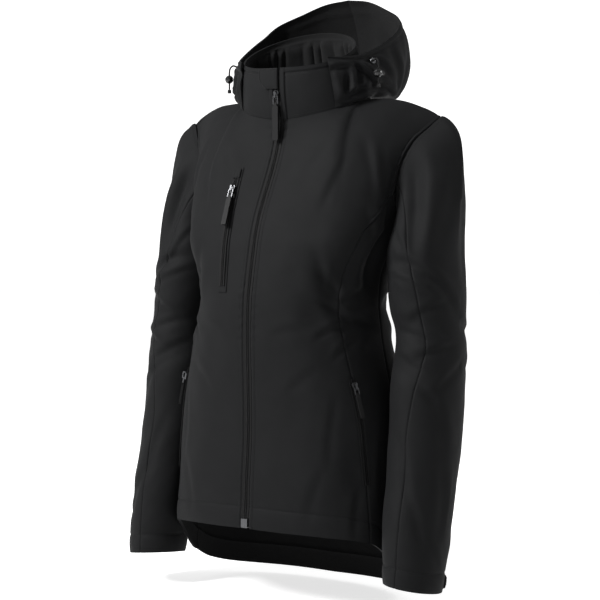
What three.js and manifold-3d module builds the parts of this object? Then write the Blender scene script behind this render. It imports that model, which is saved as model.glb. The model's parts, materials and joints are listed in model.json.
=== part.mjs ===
// A women's softshell jacket in its worn form, with the hood down, modelled in millimetres.
// +Z is up, the wearer faces -Y and the wearer's left is +X.
// The origin is at the middle of the neck, at the height where the shoulder seams meet it.
import * as THREE from "three";
import { mergeVertices } from "three/addons/utils/BufferGeometryUtils.js";
import Module from "manifold-3d";

const wasm = await Module();
wasm.setup();

// Cloth and seams
const CLOTH = 2.2;
const HEM_CLOTH = 4.2;
const SEAM_GAP = 0.3;
const HEM_BAND = 31;
const CUFF_BAND = 27;
const BAND_PUFF = 1.1;
const GROOVE = 0.7;
const ROUNDNESS = 2.5;

// Trims
const ZIP_WIDTH = 13;
const COIL_WIDTH = 5.5;
const TAPE = 1.2;
const COIL_RISE = 1.0;
const ZIP_SINK = 0.4;
const BOX = { wide: 10.5, high: 13, thick: 5, top: -599 };
const GUARD = { from: -31, to: 3, low: 0.59, thick: 1.8 };
const LIE = 0.35;
const LAID = 0.5;

// The chest pocket on the wearer's right: breadth and height of its ends
const CHEST = { topX: 56, bottomX: 47, top: -100, bottom: -279, wide: 17, zipWide: 11, thick: 0.9 };
const CHEST_ZIP = { top: -117, bottom: -270, garage: -103 };
const HAND_ZIP = { top: -396, bottom: -546, wide: 12 };

// Zip pulls: where the slider sits, and the sizes of the link and the tab that hang from it
const MAIN_PULL = { z: 5, tilt: 6, linkWide: 8.6, linkLong: 13, tabWide: 9.4, tabLong: 52 };
const CHEST_PULL = { z: -133, tilt: 0, linkWide: 8.2, linkLong: 13, tabWide: 8, tabLong: 44 };
const HAND_PULL = { z: -408, tilt: 0, linkWide: 7.4, linkLong: 11, tabWide: 5.6, tabLong: 34 };
const SLIDER = { wide: 9, long: 11.6, thick: 2.1, arch: 2.2, archRise: 3.9, window: 2.6, leg: 1.6 };
const LINK = 1.4;
const TAB_THICK = 3.2;
const CROSSBAR_DROP = 2;

// Hood cords: a cord out of each eyelet, through a lock with a sprung plunger, to an end stop
const CORD = { diameter: 2.6, deg: 88, z: 53, out: 15, fall: 33 };
const EYELET = { outer: 5, inner: 1.8, thick: 1.6 };
const LOCK = { radius: 6.4, half: 7.6, centre: -1.2, drop: 18, cordHole: 1.75, bore: 3.6, blind: -5.6 };
const PLUNGER = { radius: 3.3, inner: -2.8, outer: 9.5, slotFrom: -1.5, slotTo: 4.1, slotHalf: 1.7 };
const STOP = { radius: 2.8, long: 5.5 };
const CORD_SIDES = 8;

// Torso rings: half width, front and back reach, and how far back the side seam lies
const TORSO = [
  { z: -760, half: 183, front: -127, back: 121, side: 5 },
  { z: -600, half: 181, front: -126, back: 120, side: 5 },
  { z: -540, half: 178, front: -123, back: 122, side: 5 },
  { z: -480, half: 173, front: -119, back: 123, side: 5 },
  { z: -440, half: 168, front: -118, back: 120, side: 6 },
  { z: -400, half: 159, front: -119, back: 113, side: 7 },
  { z: -340, half: 145, front: -121, back: 99, side: 9 },
  { z: -294, half: 141, front: -119, back: 98, side: 10 },
  { z: -250, half: 145, front: -112, back: 104, side: 15 },
  { z: -210, half: 160, front: -104, back: 109, side: 22 },
  { z: -190, half: 167, front: -98, back: 111, side: 30 },
  { z: -170, half: 172, front: -91, back: 112, side: 34 },
];

// Heights of the torso's cross rows between the hem and the underarm
const LEVELS = [-530, -490, -450, -415, -382, -350, -320, -294, -268, -240, -213, -190];

// The hem's height round the body: degrees from centre front to centre back
const HEM = [
  { deg: 0, z: -613 },
  { deg: 35, z: -617 },
  { deg: 66, z: -629 },
  { deg: 78, z: -649 },
  { deg: 90, z: -685 },
  { deg: 103, z: -703 },
  { deg: 130, z: -715 },
  { deg: 180, z: -720 },
];

// The princess seam: degrees from centre front at each height
const PRINCESS = [
  { z: -760, deg: 66 },
  { z: -600, deg: 65 },
  { z: -400, deg: 60 },
  { z: -250, deg: 57 },
  { z: -190, deg: 58 },
];

// The armhole seam from the underarm over the front and over the back to the shoulder tip
const ARMHOLE_FRONT = [
  { x: 167, y: 30, z: -190 },
  { x: 166, y: 16, z: -173 },
  { x: 167, y: 9, z: -148 },
  { x: 170, y: 7, z: -120 },
  { x: 177, y: 12, z: -90 },
  { x: 189, y: 24, z: -63 },
  { x: 203, y: 39, z: -45 },
  { x: 217, y: 54, z: -27 },
];
const ARMHOLE_BACK = [
  { x: 167, y: 30, z: -190 },
  { x: 172, y: 48, z: -178 },
  { x: 179, y: 66, z: -148 },
  { x: 186, y: 75, z: -114 },
  { x: 194, y: 77, z: -80 },
  { x: 205, y: 71, z: -48 },
  { x: 217, y: 54, z: -27 },
];

// Sleeve sections from below the underarm to the cuff: the outer side of each is lower by its slant,
// and the front is higher by its tilt
const SLEEVE = [
  { z: -232, x: 202, y: 36, across: 52.5, deep: 67, slant: 0, tilt: 0 },
  { z: -268, x: 206, y: 33, across: 52.5, deep: 66, slant: 0, tilt: 0 },
  { z: -303, x: 210, y: 30, across: 51, deep: 63, slant: 0, tilt: 0 },
  { z: -328, x: 214.5, y: 27, across: 48, deep: 58, slant: 0, tilt: 0 },
  { z: -350, x: 217, y: 26, across: 48, deep: 57, slant: 0, tilt: 0 },
  { z: -376, x: 216.5, y: 23, across: 49.5, deep: 59, slant: 0, tilt: 0 },
  { z: -410, x: 216, y: 19, across: 50.5, deep: 62, slant: 0.01, tilt: 0.01 },
  { z: -450, x: 216.5, y: 14, across: 50.5, deep: 61, slant: 0.02, tilt: 0.04 },
  { z: -540, x: 219.5, y: -5, across: 48.5, deep: 57, slant: 0.04, tilt: 0.08 },
  { z: -590, x: 221.5, y: -20, across: 46.5, deep: 55, slant: 0.07, tilt: 0.11 },
  { z: -632, x: 222.5, y: -29, across: 44, deep: 52, slant: 0.09, tilt: 0.12 },
  { z: -658, x: 223.5, y: -34, across: 42, deep: 49, slant: 0.1, tilt: 0.13 },
];
const CUFF = { z: -687, x: 223.5, y: -38, across: 40, deep: 46, slant: 0.11, tilt: 0.13 };
const CUFF_ROWS = [33.5, 29.5, CUFF_BAND, 25.3, 18, 8, 1.5, 0];
const TAB = { from: 0.715, to: 0.925, low: 4, high: 22, thick: 2.4 };
const HEAD_STEPS = [0, 0.14, 0.3, 0.48, 0.72, 1];
const SLEEVE_CLEARANCE = 3.5;
const SLEEVE_SOFTNESS = 2.5;
const UNDERARM_EASE = 0.9;

// The two sleeve seams: turns round the arm, from 0 on top over the front to 0.5 underneath
const SLEEVE_SEAMS = [
  { z: -190, front: 0.3125, rear: 0.6875 },
  { z: -232, front: 0.226, rear: 0.7 },
  { z: -330, front: 0.185, rear: 0.71 },
  { z: -360, front: 0.185, rear: 0.71 },
  { z: -415, front: 0.218, rear: 0.71 },
  { z: -480, front: 0.243, rear: 0.71 },
  { z: -540, front: 0.24, rear: 0.71 },
  { z: -690, front: 0.26, rear: 0.7 },
];

// Folds of the sleeves: where they lie, how far they spread round and along, and how high they stand
const SLEEVE_FOLDS = [
  { turn: 0.2, z: -118, round: 0.05, along: 55, rise: -5, lean: 0 },
  { turn: 0.1, z: -150, round: 0.045, along: 80, rise: 3.5, lean: 0 },
  { turn: 0.27, z: -235, round: 0.07, along: 13, rise: -4.5, lean: 0.5 },
  { turn: 0.23, z: -262, round: 0.08, along: 14, rise: 3, lean: 0.5 },
  { turn: 0.26, z: -322, round: 0.09, along: 13, rise: -4, lean: -0.3 },
  { turn: 0.2, z: -352, round: 0.1, along: 13, rise: 3, lean: -0.3 },
  { turn: 0.3, z: -382, round: 0.08, along: 14, rise: -3, lean: 0.4 },
  { turn: 0.8, z: -330, round: 0.07, along: 18, rise: 3, lean: 0.3 },
  { turn: 0.72, z: -362, round: 0.08, along: 16, rise: -3, lean: 0.3 },
  { turn: 0.85, z: -215, round: 0.05, along: 70, rise: -3, lean: 0 },
  { turn: 0.12, z: -600, round: 0.07, along: 20, rise: -3, lean: 0.4 },
  { turn: 0.9, z: -622, round: 0.06, along: 22, rise: 2.5, lean: -0.3 },
];

// Fullness and folds of the body, on both sides alike: degrees from centre front
const BODY_FOLDS = [
  { deg: 44, z: -205, round: 17, along: 42, rise: 8, lean: 0 },
  { deg: 79, z: -226, round: 7.5, along: 44, rise: -8, lean: 0 },
  { deg: 50, z: -292, round: 14, along: 36, rise: -5, lean: 0.1 },
  { deg: 74, z: -318, round: 11, along: 12, rise: -3, lean: 0.5 },
  { deg: 72, z: -350, round: 12, along: 13, rise: 2.5, lean: 0.5 },
  { deg: 30, z: -520, round: 12, along: 60, rise: 2.5, lean: 0 },
  { deg: 56, z: -545, round: 8, along: 50, rise: -3, lean: 0 },
  { deg: 112, z: -300, round: 16, along: 12, rise: -3.5, lean: -0.4 },
  { deg: 122, z: -334, round: 18, along: 13, rise: 3, lean: -0.4 },
  { deg: 150, z: -300, round: 14, along: 13, rise: -3, lean: 0.3 },
  { deg: 138, z: -560, round: 9, along: 70, rise: 3.5, lean: 0 },
  { deg: 160, z: -560, round: 9, along: 70, rise: -3, lean: 0 },
];

// The collar: a loop at its seam and a loop at its top edge
const NECK = { half: 101, mid: 30, reach: 66, front: -31, rise: 49, bend: 0.75 };
const COLLAR_TOP = { half: 88, mid: 17, reach: 61, front: 43, rise: 59, bend: 1.3 };
const COLLAR_ROWS = [0, 0.04, 0.45, 0.87, 0.9, 0.95, 1];
const ROLL = 1.3;
const ROLL_WIDTH = 7;
const GATHERS = { from: 104, to: 256, count: 9, depth: 1.7 };

// The hood's rim: degrees round the collar from centre front, with the point of the rim there
const HOOD_RIM = [
  { deg: 52, x: 74, y: -25, z: 57 },
  { deg: 64, x: 90, y: -8, z: 57 },
  { deg: 78, x: 104, y: 14, z: 61 },
  { deg: 92, x: 113, y: 38, z: 70 },
  { deg: 110, x: 118, y: 69, z: 85 },
  { deg: 130, x: 117, y: 103, z: 104 },
  { deg: 144, x: 106, y: 124, z: 122 },
  { deg: 158, x: 75, y: 140, z: 138 },
  { deg: 170, x: 38, y: 151, z: 153 },
  { deg: 180, x: 0, y: 155, z: 158 },
];
// How the bag of the hood swells between the neck seam and the rim
const HOOD_SWELL = [
  { deg: 52, lowOut: 2, lowUp: 0, highOut: 2, highDown: 0 },
  { deg: 78, lowOut: 14, lowUp: -6, highOut: 12, highDown: 20 },
  { deg: 110, lowOut: 43, lowUp: -26, highOut: 20, highDown: 30 },
  { deg: 135, lowOut: 73, lowUp: -58, highOut: 31, highDown: 44 },
  { deg: 180, lowOut: 100, lowUp: -72, highOut: 68, highDown: 66 },
];
const HOOD_FOLDS = [
  { deg: 62, height: 0.45, round: 4, along: 0.3, rise: 5 },
  { deg: 71, height: 0.5, round: 4, along: 0.34, rise: -4 },
  { deg: 80, height: 0.35, round: 5, along: 0.26, rise: 5.5 },
  { deg: 97, height: 0.3, round: 6, along: 0.25, rise: -4 },
  { deg: 128, height: 0.55, round: 6, along: 0.3, rise: -4.5 },
  { deg: 150, height: 0.5, round: 6, along: 0.3, rise: 4 },
  { deg: 168, height: 0.45, round: 5, along: 0.3, rise: -4.5 },
];
const HOOD_COLUMNS = 20;
const HOOD_ROWS = [0, 0.12, 0.26, 0.4, 0.54, 0.68, 0.82, 0.92, 0.96, 1];
const HOOD_OFF_COLLAR = 1.75;
const HOOD_LIFT = 2.5;

// Front armhole rows come closer together where the princess seam runs into the armhole
const UPPER_FRONT = [0, 0.125, 0.25, 0.3, 0.375, 0.5, 0.625, 0.75, 0.875, 1];
const UPPER_BACK = [0, 0.125, 0.25, 0.375, 0.5, 0.625, 0.75, 0.875, 1];
const PRINCESS_TOP = [0.644, 0.775, 0.92, 0.985];
const NECK_SHARE = 0.42;
const SHOULDER_ARCH = 10;
const YOKE_COLUMNS = 9;
const UNDERARM = -190;
const HEM_ROWS = [0, 1.5, 9, 22, 29.3, HEM_BAND, 33.5];

// Half a seam's gap as degrees round the body, as a share across the yoke and as turns of the sleeve
const HALF_SEAM_DEG = 0.05;
const HALF_SEAM_SHARE = 0.0014;
const HALF_SEAM_TURN = 0.00045;

const RAD = Math.PI / 180;
const { clamp, lerp, smoothstep } = THREE.MathUtils;
const vector = (x, y, z) => new THREE.Vector3(x, y, z);
const bell = (distance) => Math.exp(-distance * distance);
const power = (value, exponent) => Math.sign(value) * Math.abs(value) ** exponent;

// Reads one column of a table at any place, on a smooth curve through its rows
function read(table, by, at, column) {
  const last = table.length - 1;
  const sign = Math.sign(table[last][by] - table[0][by]);
  let i = 0;
  while (i < last - 1 && sign * (at - table[i + 1][by]) > 0) i += 1;
  const span = table[i + 1][by] - table[i][by];
  const t = clamp((at - table[i][by]) / span, 0, 1);
  const slope = (k) => {
    const before = table[Math.max(k - 1, 0)];
    const after = table[Math.min(k + 1, last)];
    return (after[column] - before[column]) / (after[by] - before[by]);
  };
  const blend = t * t * (3 - 2 * t);
  const bend = slope(i) * t * (1 - t) ** 2 - slope(i + 1) * t * t * (1 - t);
  return lerp(table[i][column], table[i + 1][column], blend) + span * bend;
}

// Finds where a rising function reaches a value
function solve(rising, value, low, high) {
  let a = low;
  let b = high;
  for (let i = 0; i < 26; i += 1) {
    const middle = (a + b) / 2;
    if (rising(middle) < value) a = middle;
    else b = middle;
  }
  return (a + b) / 2;
}

// The curve between two points with a given direction and speed at each end
function hermite(start, startSlope, end, endSlope, t) {
  const h = t * t * (3 - 2 * t);
  return start.clone().multiplyScalar(1 - h)
    .addScaledVector(end, h)
    .addScaledVector(startSlope, t * (1 - t) ** 2)
    .addScaledVector(endSlope, -t * t * (1 - t));
}

// The normal of a surface of two values, from its slopes along both
function normalOf(surface, a, b, stepA, stepB, sign) {
  const alongA = surface(a + stepA, b).sub(surface(a - stepA, b));
  const alongB = surface(a, b + stepB).sub(surface(a, b - stepB));
  return alongA.cross(alongB).normalize().multiplyScalar(sign);
}

// How far a table of folds lifts the cloth at a place round and along it
function foldRise(folds, round, roundKey, along, alongKey) {
  let rise = 0;
  for (const fold of folds) {
    const down = along - fold[alongKey];
    const across = round - fold[roundKey] - ((fold.lean ?? 0) * down * fold.round) / fold.along;
    rise += fold.rise * bell(across / fold.round) * bell(down / fold.along);
  }
  return rise;
}

// A wall of cloth from a grid of cells, each with an outer point, its normal and the thickness there
function wall(grid) {
  const rows = grid.length;
  const columns = grid[0].length;
  const outer = (r, c) => r * columns + c;
  const inner = (r, c) => rows * columns + r * columns + c;
  const cells = grid.flat();
  const points = [
    ...cells.map((cell) => cell.p),
    ...cells.map((cell) => cell.p.clone().addScaledVector(cell.n, -cell.t)),
  ];
  const quads = [];
  for (let r = 0; r < rows - 1; r += 1) {
    for (let c = 0; c < columns - 1; c += 1) {
      quads.push([outer(r, c), outer(r, c + 1), outer(r + 1, c + 1), outer(r + 1, c)]);
      quads.push([inner(r, c), inner(r + 1, c), inner(r + 1, c + 1), inner(r, c + 1)]);
    }
  }
  for (let c = 0; c < columns - 1; c += 1) {
    const r = rows - 1;
    quads.push([outer(0, c + 1), outer(0, c), inner(0, c), inner(0, c + 1)]);
    quads.push([outer(r, c), outer(r, c + 1), inner(r, c + 1), inner(r, c)]);
  }
  for (let r = 0; r < rows - 1; r += 1) {
    const c = columns - 1;
    quads.push([outer(r, 0), outer(r + 1, 0), inner(r + 1, 0), inner(r, 0)]);
    quads.push([outer(r, c), inner(r, c), inner(r + 1, c), outer(r + 1, c)]);
  }
  const [a, b, , d] = quads[0].map((k) => points[k]);
  const facing = b.clone().sub(a).cross(d.clone().sub(a)).dot(cells[0].n) > 0;
  const index = quads.flatMap(([i, j, k, l]) => (facing ? [i, j, k, i, k, l] : [i, k, j, i, l, k]));
  const geometry = new THREE.BufferGeometry();
  const numbers = points.flatMap((p) => p.toArray());
  geometry.setAttribute("position", new THREE.Float32BufferAttribute(numbers, 3));
  geometry.setIndex(index);
  geometry.computeVertexNormals();
  return geometry;
}

// The body below the underarm: side is 1 on the left and -1 on the right, deg runs from centre front
function ringPoint(side, deg, z) {
  const half = read(TORSO, "z", z, "half");
  const middle = read(TORSO, "z", z, "side");
  const cosine = Math.cos(deg * RAD);
  const end = read(TORSO, "z", z, cosine > 0 ? "front" : "back");
  const x = side * half * power(Math.sin(deg * RAD), 2 / ROUNDNESS);
  const y = middle + Math.abs(end - middle) * -power(cosine, 2 / ROUNDNESS);
  return vector(x, y, z);
}

// The half width of the body at a depth and height, which the sleeves keep clear of
function bodyHalfAt(y, z) {
  const middle = read(TORSO, "z", z, "side");
  const reach = Math.abs(read(TORSO, "z", z, y < middle ? "front" : "back") - middle);
  const share = Math.min(Math.abs(y - middle) / reach, 1);
  return read(TORSO, "z", z, "half") * (1 - share ** ROUNDNESS) ** (1 / ROUNDNESS);
}

// A point of a loop round the neck, deg from centre front
function loopPoint(loop, side, deg) {
  const turn = (1 - Math.cos(deg * RAD)) / 2;
  return vector(
    side * loop.half * Math.sin(deg * RAD),
    loop.mid - loop.reach * Math.cos(deg * RAD),
    loop.front + loop.rise * turn ** loop.bend,
  );
}

// The armhole's two branches, from the underarm to the shoulder tip
const branch = (rows) => new THREE.CatmullRomCurve3(rows.map((row) => vector(row.x, row.y, row.z)));
const armhole = { front: branch(ARMHOLE_FRONT), back: branch(ARMHOLE_BACK) };
const mirrored = (point, side) => point.setX(point.x * side);

// The upper edge of the body: half the neckline, then the shoulder seam; q runs from the centre outwards
function topPoint(part, q) {
  if (q < NECK_SHARE) {
    const deg = (90 * q) / NECK_SHARE;
    return loopPoint(NECK, 1, part === "front" ? deg : 180 - deg);
  }
  const t = (q - NECK_SHARE) / (1 - NECK_SHARE);
  const point = loopPoint(NECK, 1, 90).lerp(armhole.front.getPoint(1), t);
  return point.setZ(point.z + SHOULDER_ARCH * Math.sin(Math.PI * t));
}

// The body above the underarm: q from the centre to the armhole, v from the underarm to the shoulder
function yokePoint(side, part, q, v) {
  const deg = part === "front" ? 90 * q : 180 - 90 * q;
  const column = (share, t) => {
    const angle = part === "front" ? 90 * share : 180 - 90 * share;
    const start = ringPoint(1, angle, UNDERARM);
    const end = topPoint(part, share);
    const length = start.distanceTo(end);
    const below = ringPoint(1, angle, UNDERARM - 12);
    const rise = start.clone().sub(below).normalize().multiplyScalar(length);
    const over = smoothstep(share, 0, NECK_SHARE);
    const lean = part === "front"
      ? vector(0, lerp(0, 0.78, over), lerp(1, 0.2, over))
      : vector(0, lerp(-0.45, -0.8, over), lerp(0.9, 0.16, over));
    return hermite(start, rise, end, lean.multiplyScalar(length), t);
  };
  const drawn = armhole[part].getPointAt(clamp(v, 0, 1)).sub(column(1, v));
  return mirrored(column(q, v).addScaledVector(drawn, clamp(q, 0, 1) ** 3), side);
}

// How the cloth of the body stands off its plain form at an angle and height
function bodyRise(deg, z) {
  const over = z - read(HEM, "deg", deg, "z");
  const puff = BAND_PUFF * Math.sin((Math.PI * clamp(over, 0, HEM_BAND)) / HEM_BAND);
  return foldRise(BODY_FOLDS, deg, "deg", z, "z") + puff - GROOVE * bell((over - HEM_BAND) / 1.6);
}

// A cell of the body below the underarm, moved out from the cloth by lift
function ringCell(side, deg, z, lift = 0) {
  const n = normalOf((a, b) => ringPoint(side, a, b), deg, z, 0.4, 2, side);
  const over = z - read(HEM, "deg", deg, "z");
  const t = lerp(HEM_CLOTH, CLOTH, smoothstep(over, HEM_BAND - 1, HEM_BAND + 4));
  const p = ringPoint(side, deg, z).addScaledVector(n, bodyRise(deg, z) + lift);
  return { p, n, t };
}

// A cell of the body above the underarm
function yokeCell(side, part, q, v, lift = 0) {
  const sign = part === "front" ? side : -side;
  const at = [clamp(q, 0.004, 0.996), clamp(v, 0.004, 0.996)];
  const n = normalOf((a, b) => yokePoint(side, part, a, b), ...at, 0.004, 0.004, sign);
  const plain = yokePoint(side, part, q, v);
  const deg = part === "front" ? 90 * q : 180 - 90 * q;
  return { p: plain.clone().addScaledVector(n, bodyRise(deg, plain.z) + lift), n, t: CLOTH };
}

// A cell of a front at a given breadth from the centre and a given height
function frontCell(side, x, z, lift = 0) {
  if (z <= UNDERARM) {
    const deg = solve((a) => ringPoint(1, a, z).x, x, 0, 90);
    return ringCell(side, deg, z, lift);
  }
  const share = (v) => solve((q) => yokePoint(1, "front", q, v).x, x, 0, 1);
  const v = solve((t) => yokePoint(1, "front", share(t), t).z, z, 0, 1);
  return yokeCell(side, "front", share(v), v, lift);
}

const jacket = new THREE.Group();
const SOFTSHELL = { color: 0x121314, roughness: 0.85, metalness: 0 };
const TRIM = { color: 0x0b0b0c, roughness: 0.6, metalness: 0 };
const GUNMETAL = { color: 0x2c2d2f, roughness: 0.35, metalness: 0.85 };
const PLASTIC = { color: 0x0c0c0d, roughness: 0.3, metalness: 0 };

// Adds one named piece to the jacket
function piece(name, geometry, look) {
  const mesh = new THREE.Mesh(geometry, new THREE.MeshStandardMaterial(look));
  mesh.name = name;
  jacket.add(mesh);
}

// The height of each cross row of the body below the underarm, at an angle
function rowHeights(deg) {
  const hem = read(HEM, "deg", deg, "z");
  const band = HEM_ROWS.map((over) => hem + over);
  return [...band, (band.at(-1) + LEVELS[0]) / 2, ...LEVELS];
}

// Where the princess seam lies, shifted by half a seam towards the front (-1) or the side (1)
const princessAt = (z, way) => read(PRINCESS, "z", z, "deg") + way * HALF_SEAM_DEG;
function princessTop(row, way) {
  return row < PRINCESS_TOP.length ? PRINCESS_TOP[row] + way * HALF_SEAM_SHARE : 1;
}

// Cells of the body between two angles, both functions of height
function ringRows(side, from, to, shares) {
  const nominal = shares.map((share) => lerp(from(-600), to(-600), share));
  return rowHeights(90).slice(0, -1).map((_, row) => nominal.map((deg, c) => {
    const z = rowHeights(clamp(deg, 0, 180))[row];
    return ringCell(side, lerp(from(z), to(z), shares[c]), z);
  }));
}

const zipEdge = ZIP_WIDTH / 2 + SEAM_GAP;
const zipEdgeDeg = (z) => solve((deg) => ringPoint(1, deg, z).x, zipEdge, 0, 90);
const zipEdgeShare = (v) => solve((q) => yokePoint(1, "front", q, v).x, zipEdge, 0, 1);
const shouldered = (v) => (v === 1 ? 1 - HALF_SEAM_SHARE / 2 : v);
const spread = (count) => Array.from({ length: count + 1 }, (_, i) => i / count);

// The armhole edges of the body and the sleeve share one slope, halfway between their own
function armholeNormal(side, turn) {
  const v = Math.abs(2 * turn - 1);
  const meets = v > 0.999 || v < 0.001;
  const body = (part) => yokeCell(side, part, 0.985, clamp(v, 0.02, 0.98)).n;
  const parts = meets ? ["front", "back"] : [turn < 0.5 ? "front" : "back"];
  const slopes = parts.map(body);
  const across = slopes.reduce((sum, n) => sum.add(n)).normalize();
  return across.add(sleeveNormal(side, meets && v > 0.5 ? 0 : turn, 0.04)).normalize();
}

// The front and back edges at the shoulder seam share one slope too
function shoulderNormal(side, q) {
  const share = Math.min(q, 0.985);
  return yokeCell(side, "front", share, 0.98).n.add(yokeCell(side, "back", share, 0.98).n).normalize();
}

// A row of yoke cells, with its ends shaped for the seams that meet there
function yokeRow(side, part, shares, v) {
  return shares.map((q) => {
    const cell = yokeCell(side, part, q, shouldered(v));
    if (v === 1 && q >= NECK_SHARE - 0.01) cell.n = shoulderNormal(side, q);
    if (q === 1) cell.n = armholeNormal(side, part === "front" ? (1 - v) / 2 : (1 + v) / 2);
    return cell;
  });
}

// The left or right front, from the zip to the princess seam
function frontPanel(side) {
  const shares = spread(YOKE_COLUMNS);
  const rows = ringRows(side, zipEdgeDeg, (z) => princessAt(z, -1), shares);
  UPPER_FRONT.forEach((v, row) => {
    const across = shares.map((share) => (share ? share * princessTop(row, -1) : zipEdgeShare(v)));
    rows.push(yokeRow(side, "front", across, v));
  });
  return wall(rows);
}

// The side front, from the princess seam to the side seam, ending in a point at the armhole
function sideFrontPanel(side) {
  const shares = spread(5);
  const rows = ringRows(side, (z) => princessAt(z, 1), () => 90 - HALF_SEAM_DEG, shares);
  UPPER_FRONT.slice(0, PRINCESS_TOP.length).forEach((v, row) => {
    rows.push(yokeRow(side, "front", shares.map((share) => lerp(princessTop(row, 1), 1, share)), v));
  });
  return wall(rows);
}

// The back, in one piece from side seam to side seam
function backPanel() {
  const shares = spread(YOKE_COLUMNS);
  const right = ringRows(-1, () => 90 + HALF_SEAM_DEG, () => 180, shares);
  const left = ringRows(1, () => 90 + HALF_SEAM_DEG, () => 180, shares);
  for (const v of UPPER_BACK) {
    right.push(yokeRow(-1, "back", [...shares].reverse(), v));
    left.push(yokeRow(1, "back", [...shares].reverse(), v));
  }
  return wall(right.map((row, r) => [...row, ...left[r].slice(0, -1).reverse()]));
}

const SLEEVE_ROWS = [...SLEEVE, CUFF];
const sleeveHeight = (down) => SLEEVE[0].z - (down - 1) * 100;

// A point round the sleeve, kept clear of the body beside it
function sectionPoint(turn, z) {
  const at = (column) => read(SLEEVE_ROWS, "z", z, column);
  const outward = Math.cos(2 * Math.PI * turn);
  const forward = Math.sin(2 * Math.PI * turn);
  const plain = vector(
    at("x") + at("across") * outward,
    at("y") - at("deep") * forward,
    z - at("slant") * at("across") * outward + at("tilt") * at("deep") * forward,
  );
  const limit = bodyHalfAt(plain.y, plain.z) + SLEEVE_CLEARANCE;
  const beyond = (plain.x - limit) / SLEEVE_SOFTNESS;
  return beyond > 20 ? plain : plain.setX(limit + SLEEVE_SOFTNESS * Math.log(1 + Math.exp(beyond)));
}

// The direction in which the sleeve leaves the armhole
function headDirection(turn) {
  const outward = Math.cos(2 * Math.PI * turn);
  const forward = Math.sin(2 * Math.PI * turn);
  const back = forward > 0 ? -0.1 * forward : -0.3 * forward;
  return vector(0.61 + 0.36 * outward, back, -0.665 + 0.305 * outward).normalize();
}

// The sleeve on one side: turn round the arm, down 0 at the armhole and 1 below the underarm
function sleevePoint(side, turn, down) {
  const round = turn - Math.floor(turn);
  if (down >= 1) return mirrored(sectionPoint(round, sleeveHeight(down)), side);
  const v = Math.abs(2 * round - 1);
  const start = round < 0.5 ? armhole.front.getPointAt(v) : armhole.back.getPointAt(v);
  const direction = headDirection(round);
  start.addScaledVector(direction, SEAM_GAP);
  start.x += UNDERARM_EASE * Math.max(-Math.cos(2 * Math.PI * round), 0);
  const end = sectionPoint(round, SLEEVE[0].z);
  const length = start.distanceTo(end);
  const below = sectionPoint(round, SLEEVE[0].z - 8).sub(end).normalize().multiplyScalar(length * 0.9);
  const point = hermite(start, direction.multiplyScalar(length * 0.9), end, below, Math.max(down, 0));
  if (point.z < UNDERARM - 4 && point.x < bodyHalfAt(point.y, point.z) + 2) {
    point.setX(bodyHalfAt(point.y, point.z) + 2);
  }
  return mirrored(point, side);
}

function sleeveNormal(side, turn, down) {
  return normalOf((a, b) => sleevePoint(side, a, b), turn, Math.max(down, 0.01), 0.004, 0.01, side);
}

// How the cloth of a sleeve stands off its plain form
function sleeveRise(turn, z) {
  const over = z - CUFF.z;
  const puff = BAND_PUFF * Math.sin((Math.PI * clamp(over, 0, CUFF_BAND)) / CUFF_BAND);
  const round = turn - Math.floor(turn);
  return foldRise(SLEEVE_FOLDS, round, "turn", z, "z") + puff - GROOVE * bell((over - CUFF_BAND) / 1.6);
}

// A cell of a sleeve, moved out from the cloth by lift
function sleeveCell(side, turn, down, lift = 0) {
  const n = sleeveNormal(side, turn, down);
  const plain = sleevePoint(side, turn, down);
  const z = down > 1 ? sleeveHeight(down) : plain.z;
  const fade = smoothstep(down, 0, 0.3);
  const t = lerp(HEM_CLOTH, CLOTH, smoothstep(z, CUFF.z + CUFF_BAND - 1, CUFF.z + CUFF_BAND + 4));
  return { p: plain.addScaledVector(n, sleeveRise(turn, z) * fade + lift), n, t };
}

const ringTurns = [
  ...UPPER_FRONT.map((v) => (1 - v) / 2),
  ...UPPER_BACK.slice(1).map((v) => (1 + v) / 2),
].sort((a, b) => a - b);

// One of a sleeve's two pieces, between its seams
function sleevePanel(side, upper) {
  const top = SLEEVE_SEAMS[0];
  const turns = upper
    ? [
      ...ringTurns.filter((t) => t >= top.rear).map((t) => t - 1),
      ...ringTurns.filter((t) => t <= top.front),
    ]
    : ringTurns.filter((t) => t >= top.front && t <= top.rear);
  const unique = turns.filter((t, i) => i === 0 || t - turns[i - 1] > 1e-6);
  const edges = (z) => {
    const front = read(SLEEVE_SEAMS, "z", z, "front");
    const rear = read(SLEEVE_SEAMS, "z", z, "rear");
    return upper
      ? [rear - 1 + HALF_SEAM_TURN, front - HALF_SEAM_TURN]
      : [front + HALF_SEAM_TURN, rear - HALF_SEAM_TURN];
  };
  const ends = [unique[0], unique.at(-1)];
  const downs = [
    ...HEAD_STEPS,
    ...SLEEVE.slice(1, -1).map((row) => row.z),
    ...CUFF_ROWS.map((over) => CUFF.z + over),
  ].map((value) => (value >= 0 ? value : 1 + (SLEEVE[0].z - value) / 100));
  return wall(downs.map((down) => {
    const z = down >= 1 ? sleeveHeight(down) : lerp(UNDERARM, SLEEVE[0].z, down);
    const [from, to] = edges(z);
    return unique.map((turn0) => {
      const turn = lerp(from, to, (turn0 - ends[0]) / (ends[1] - ends[0]));
      const cell = sleeveCell(side, turn, down);
      if (down === 0) cell.n = armholeNormal(side, turn - Math.floor(turn));
      return cell;
    });
  }));
}

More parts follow.
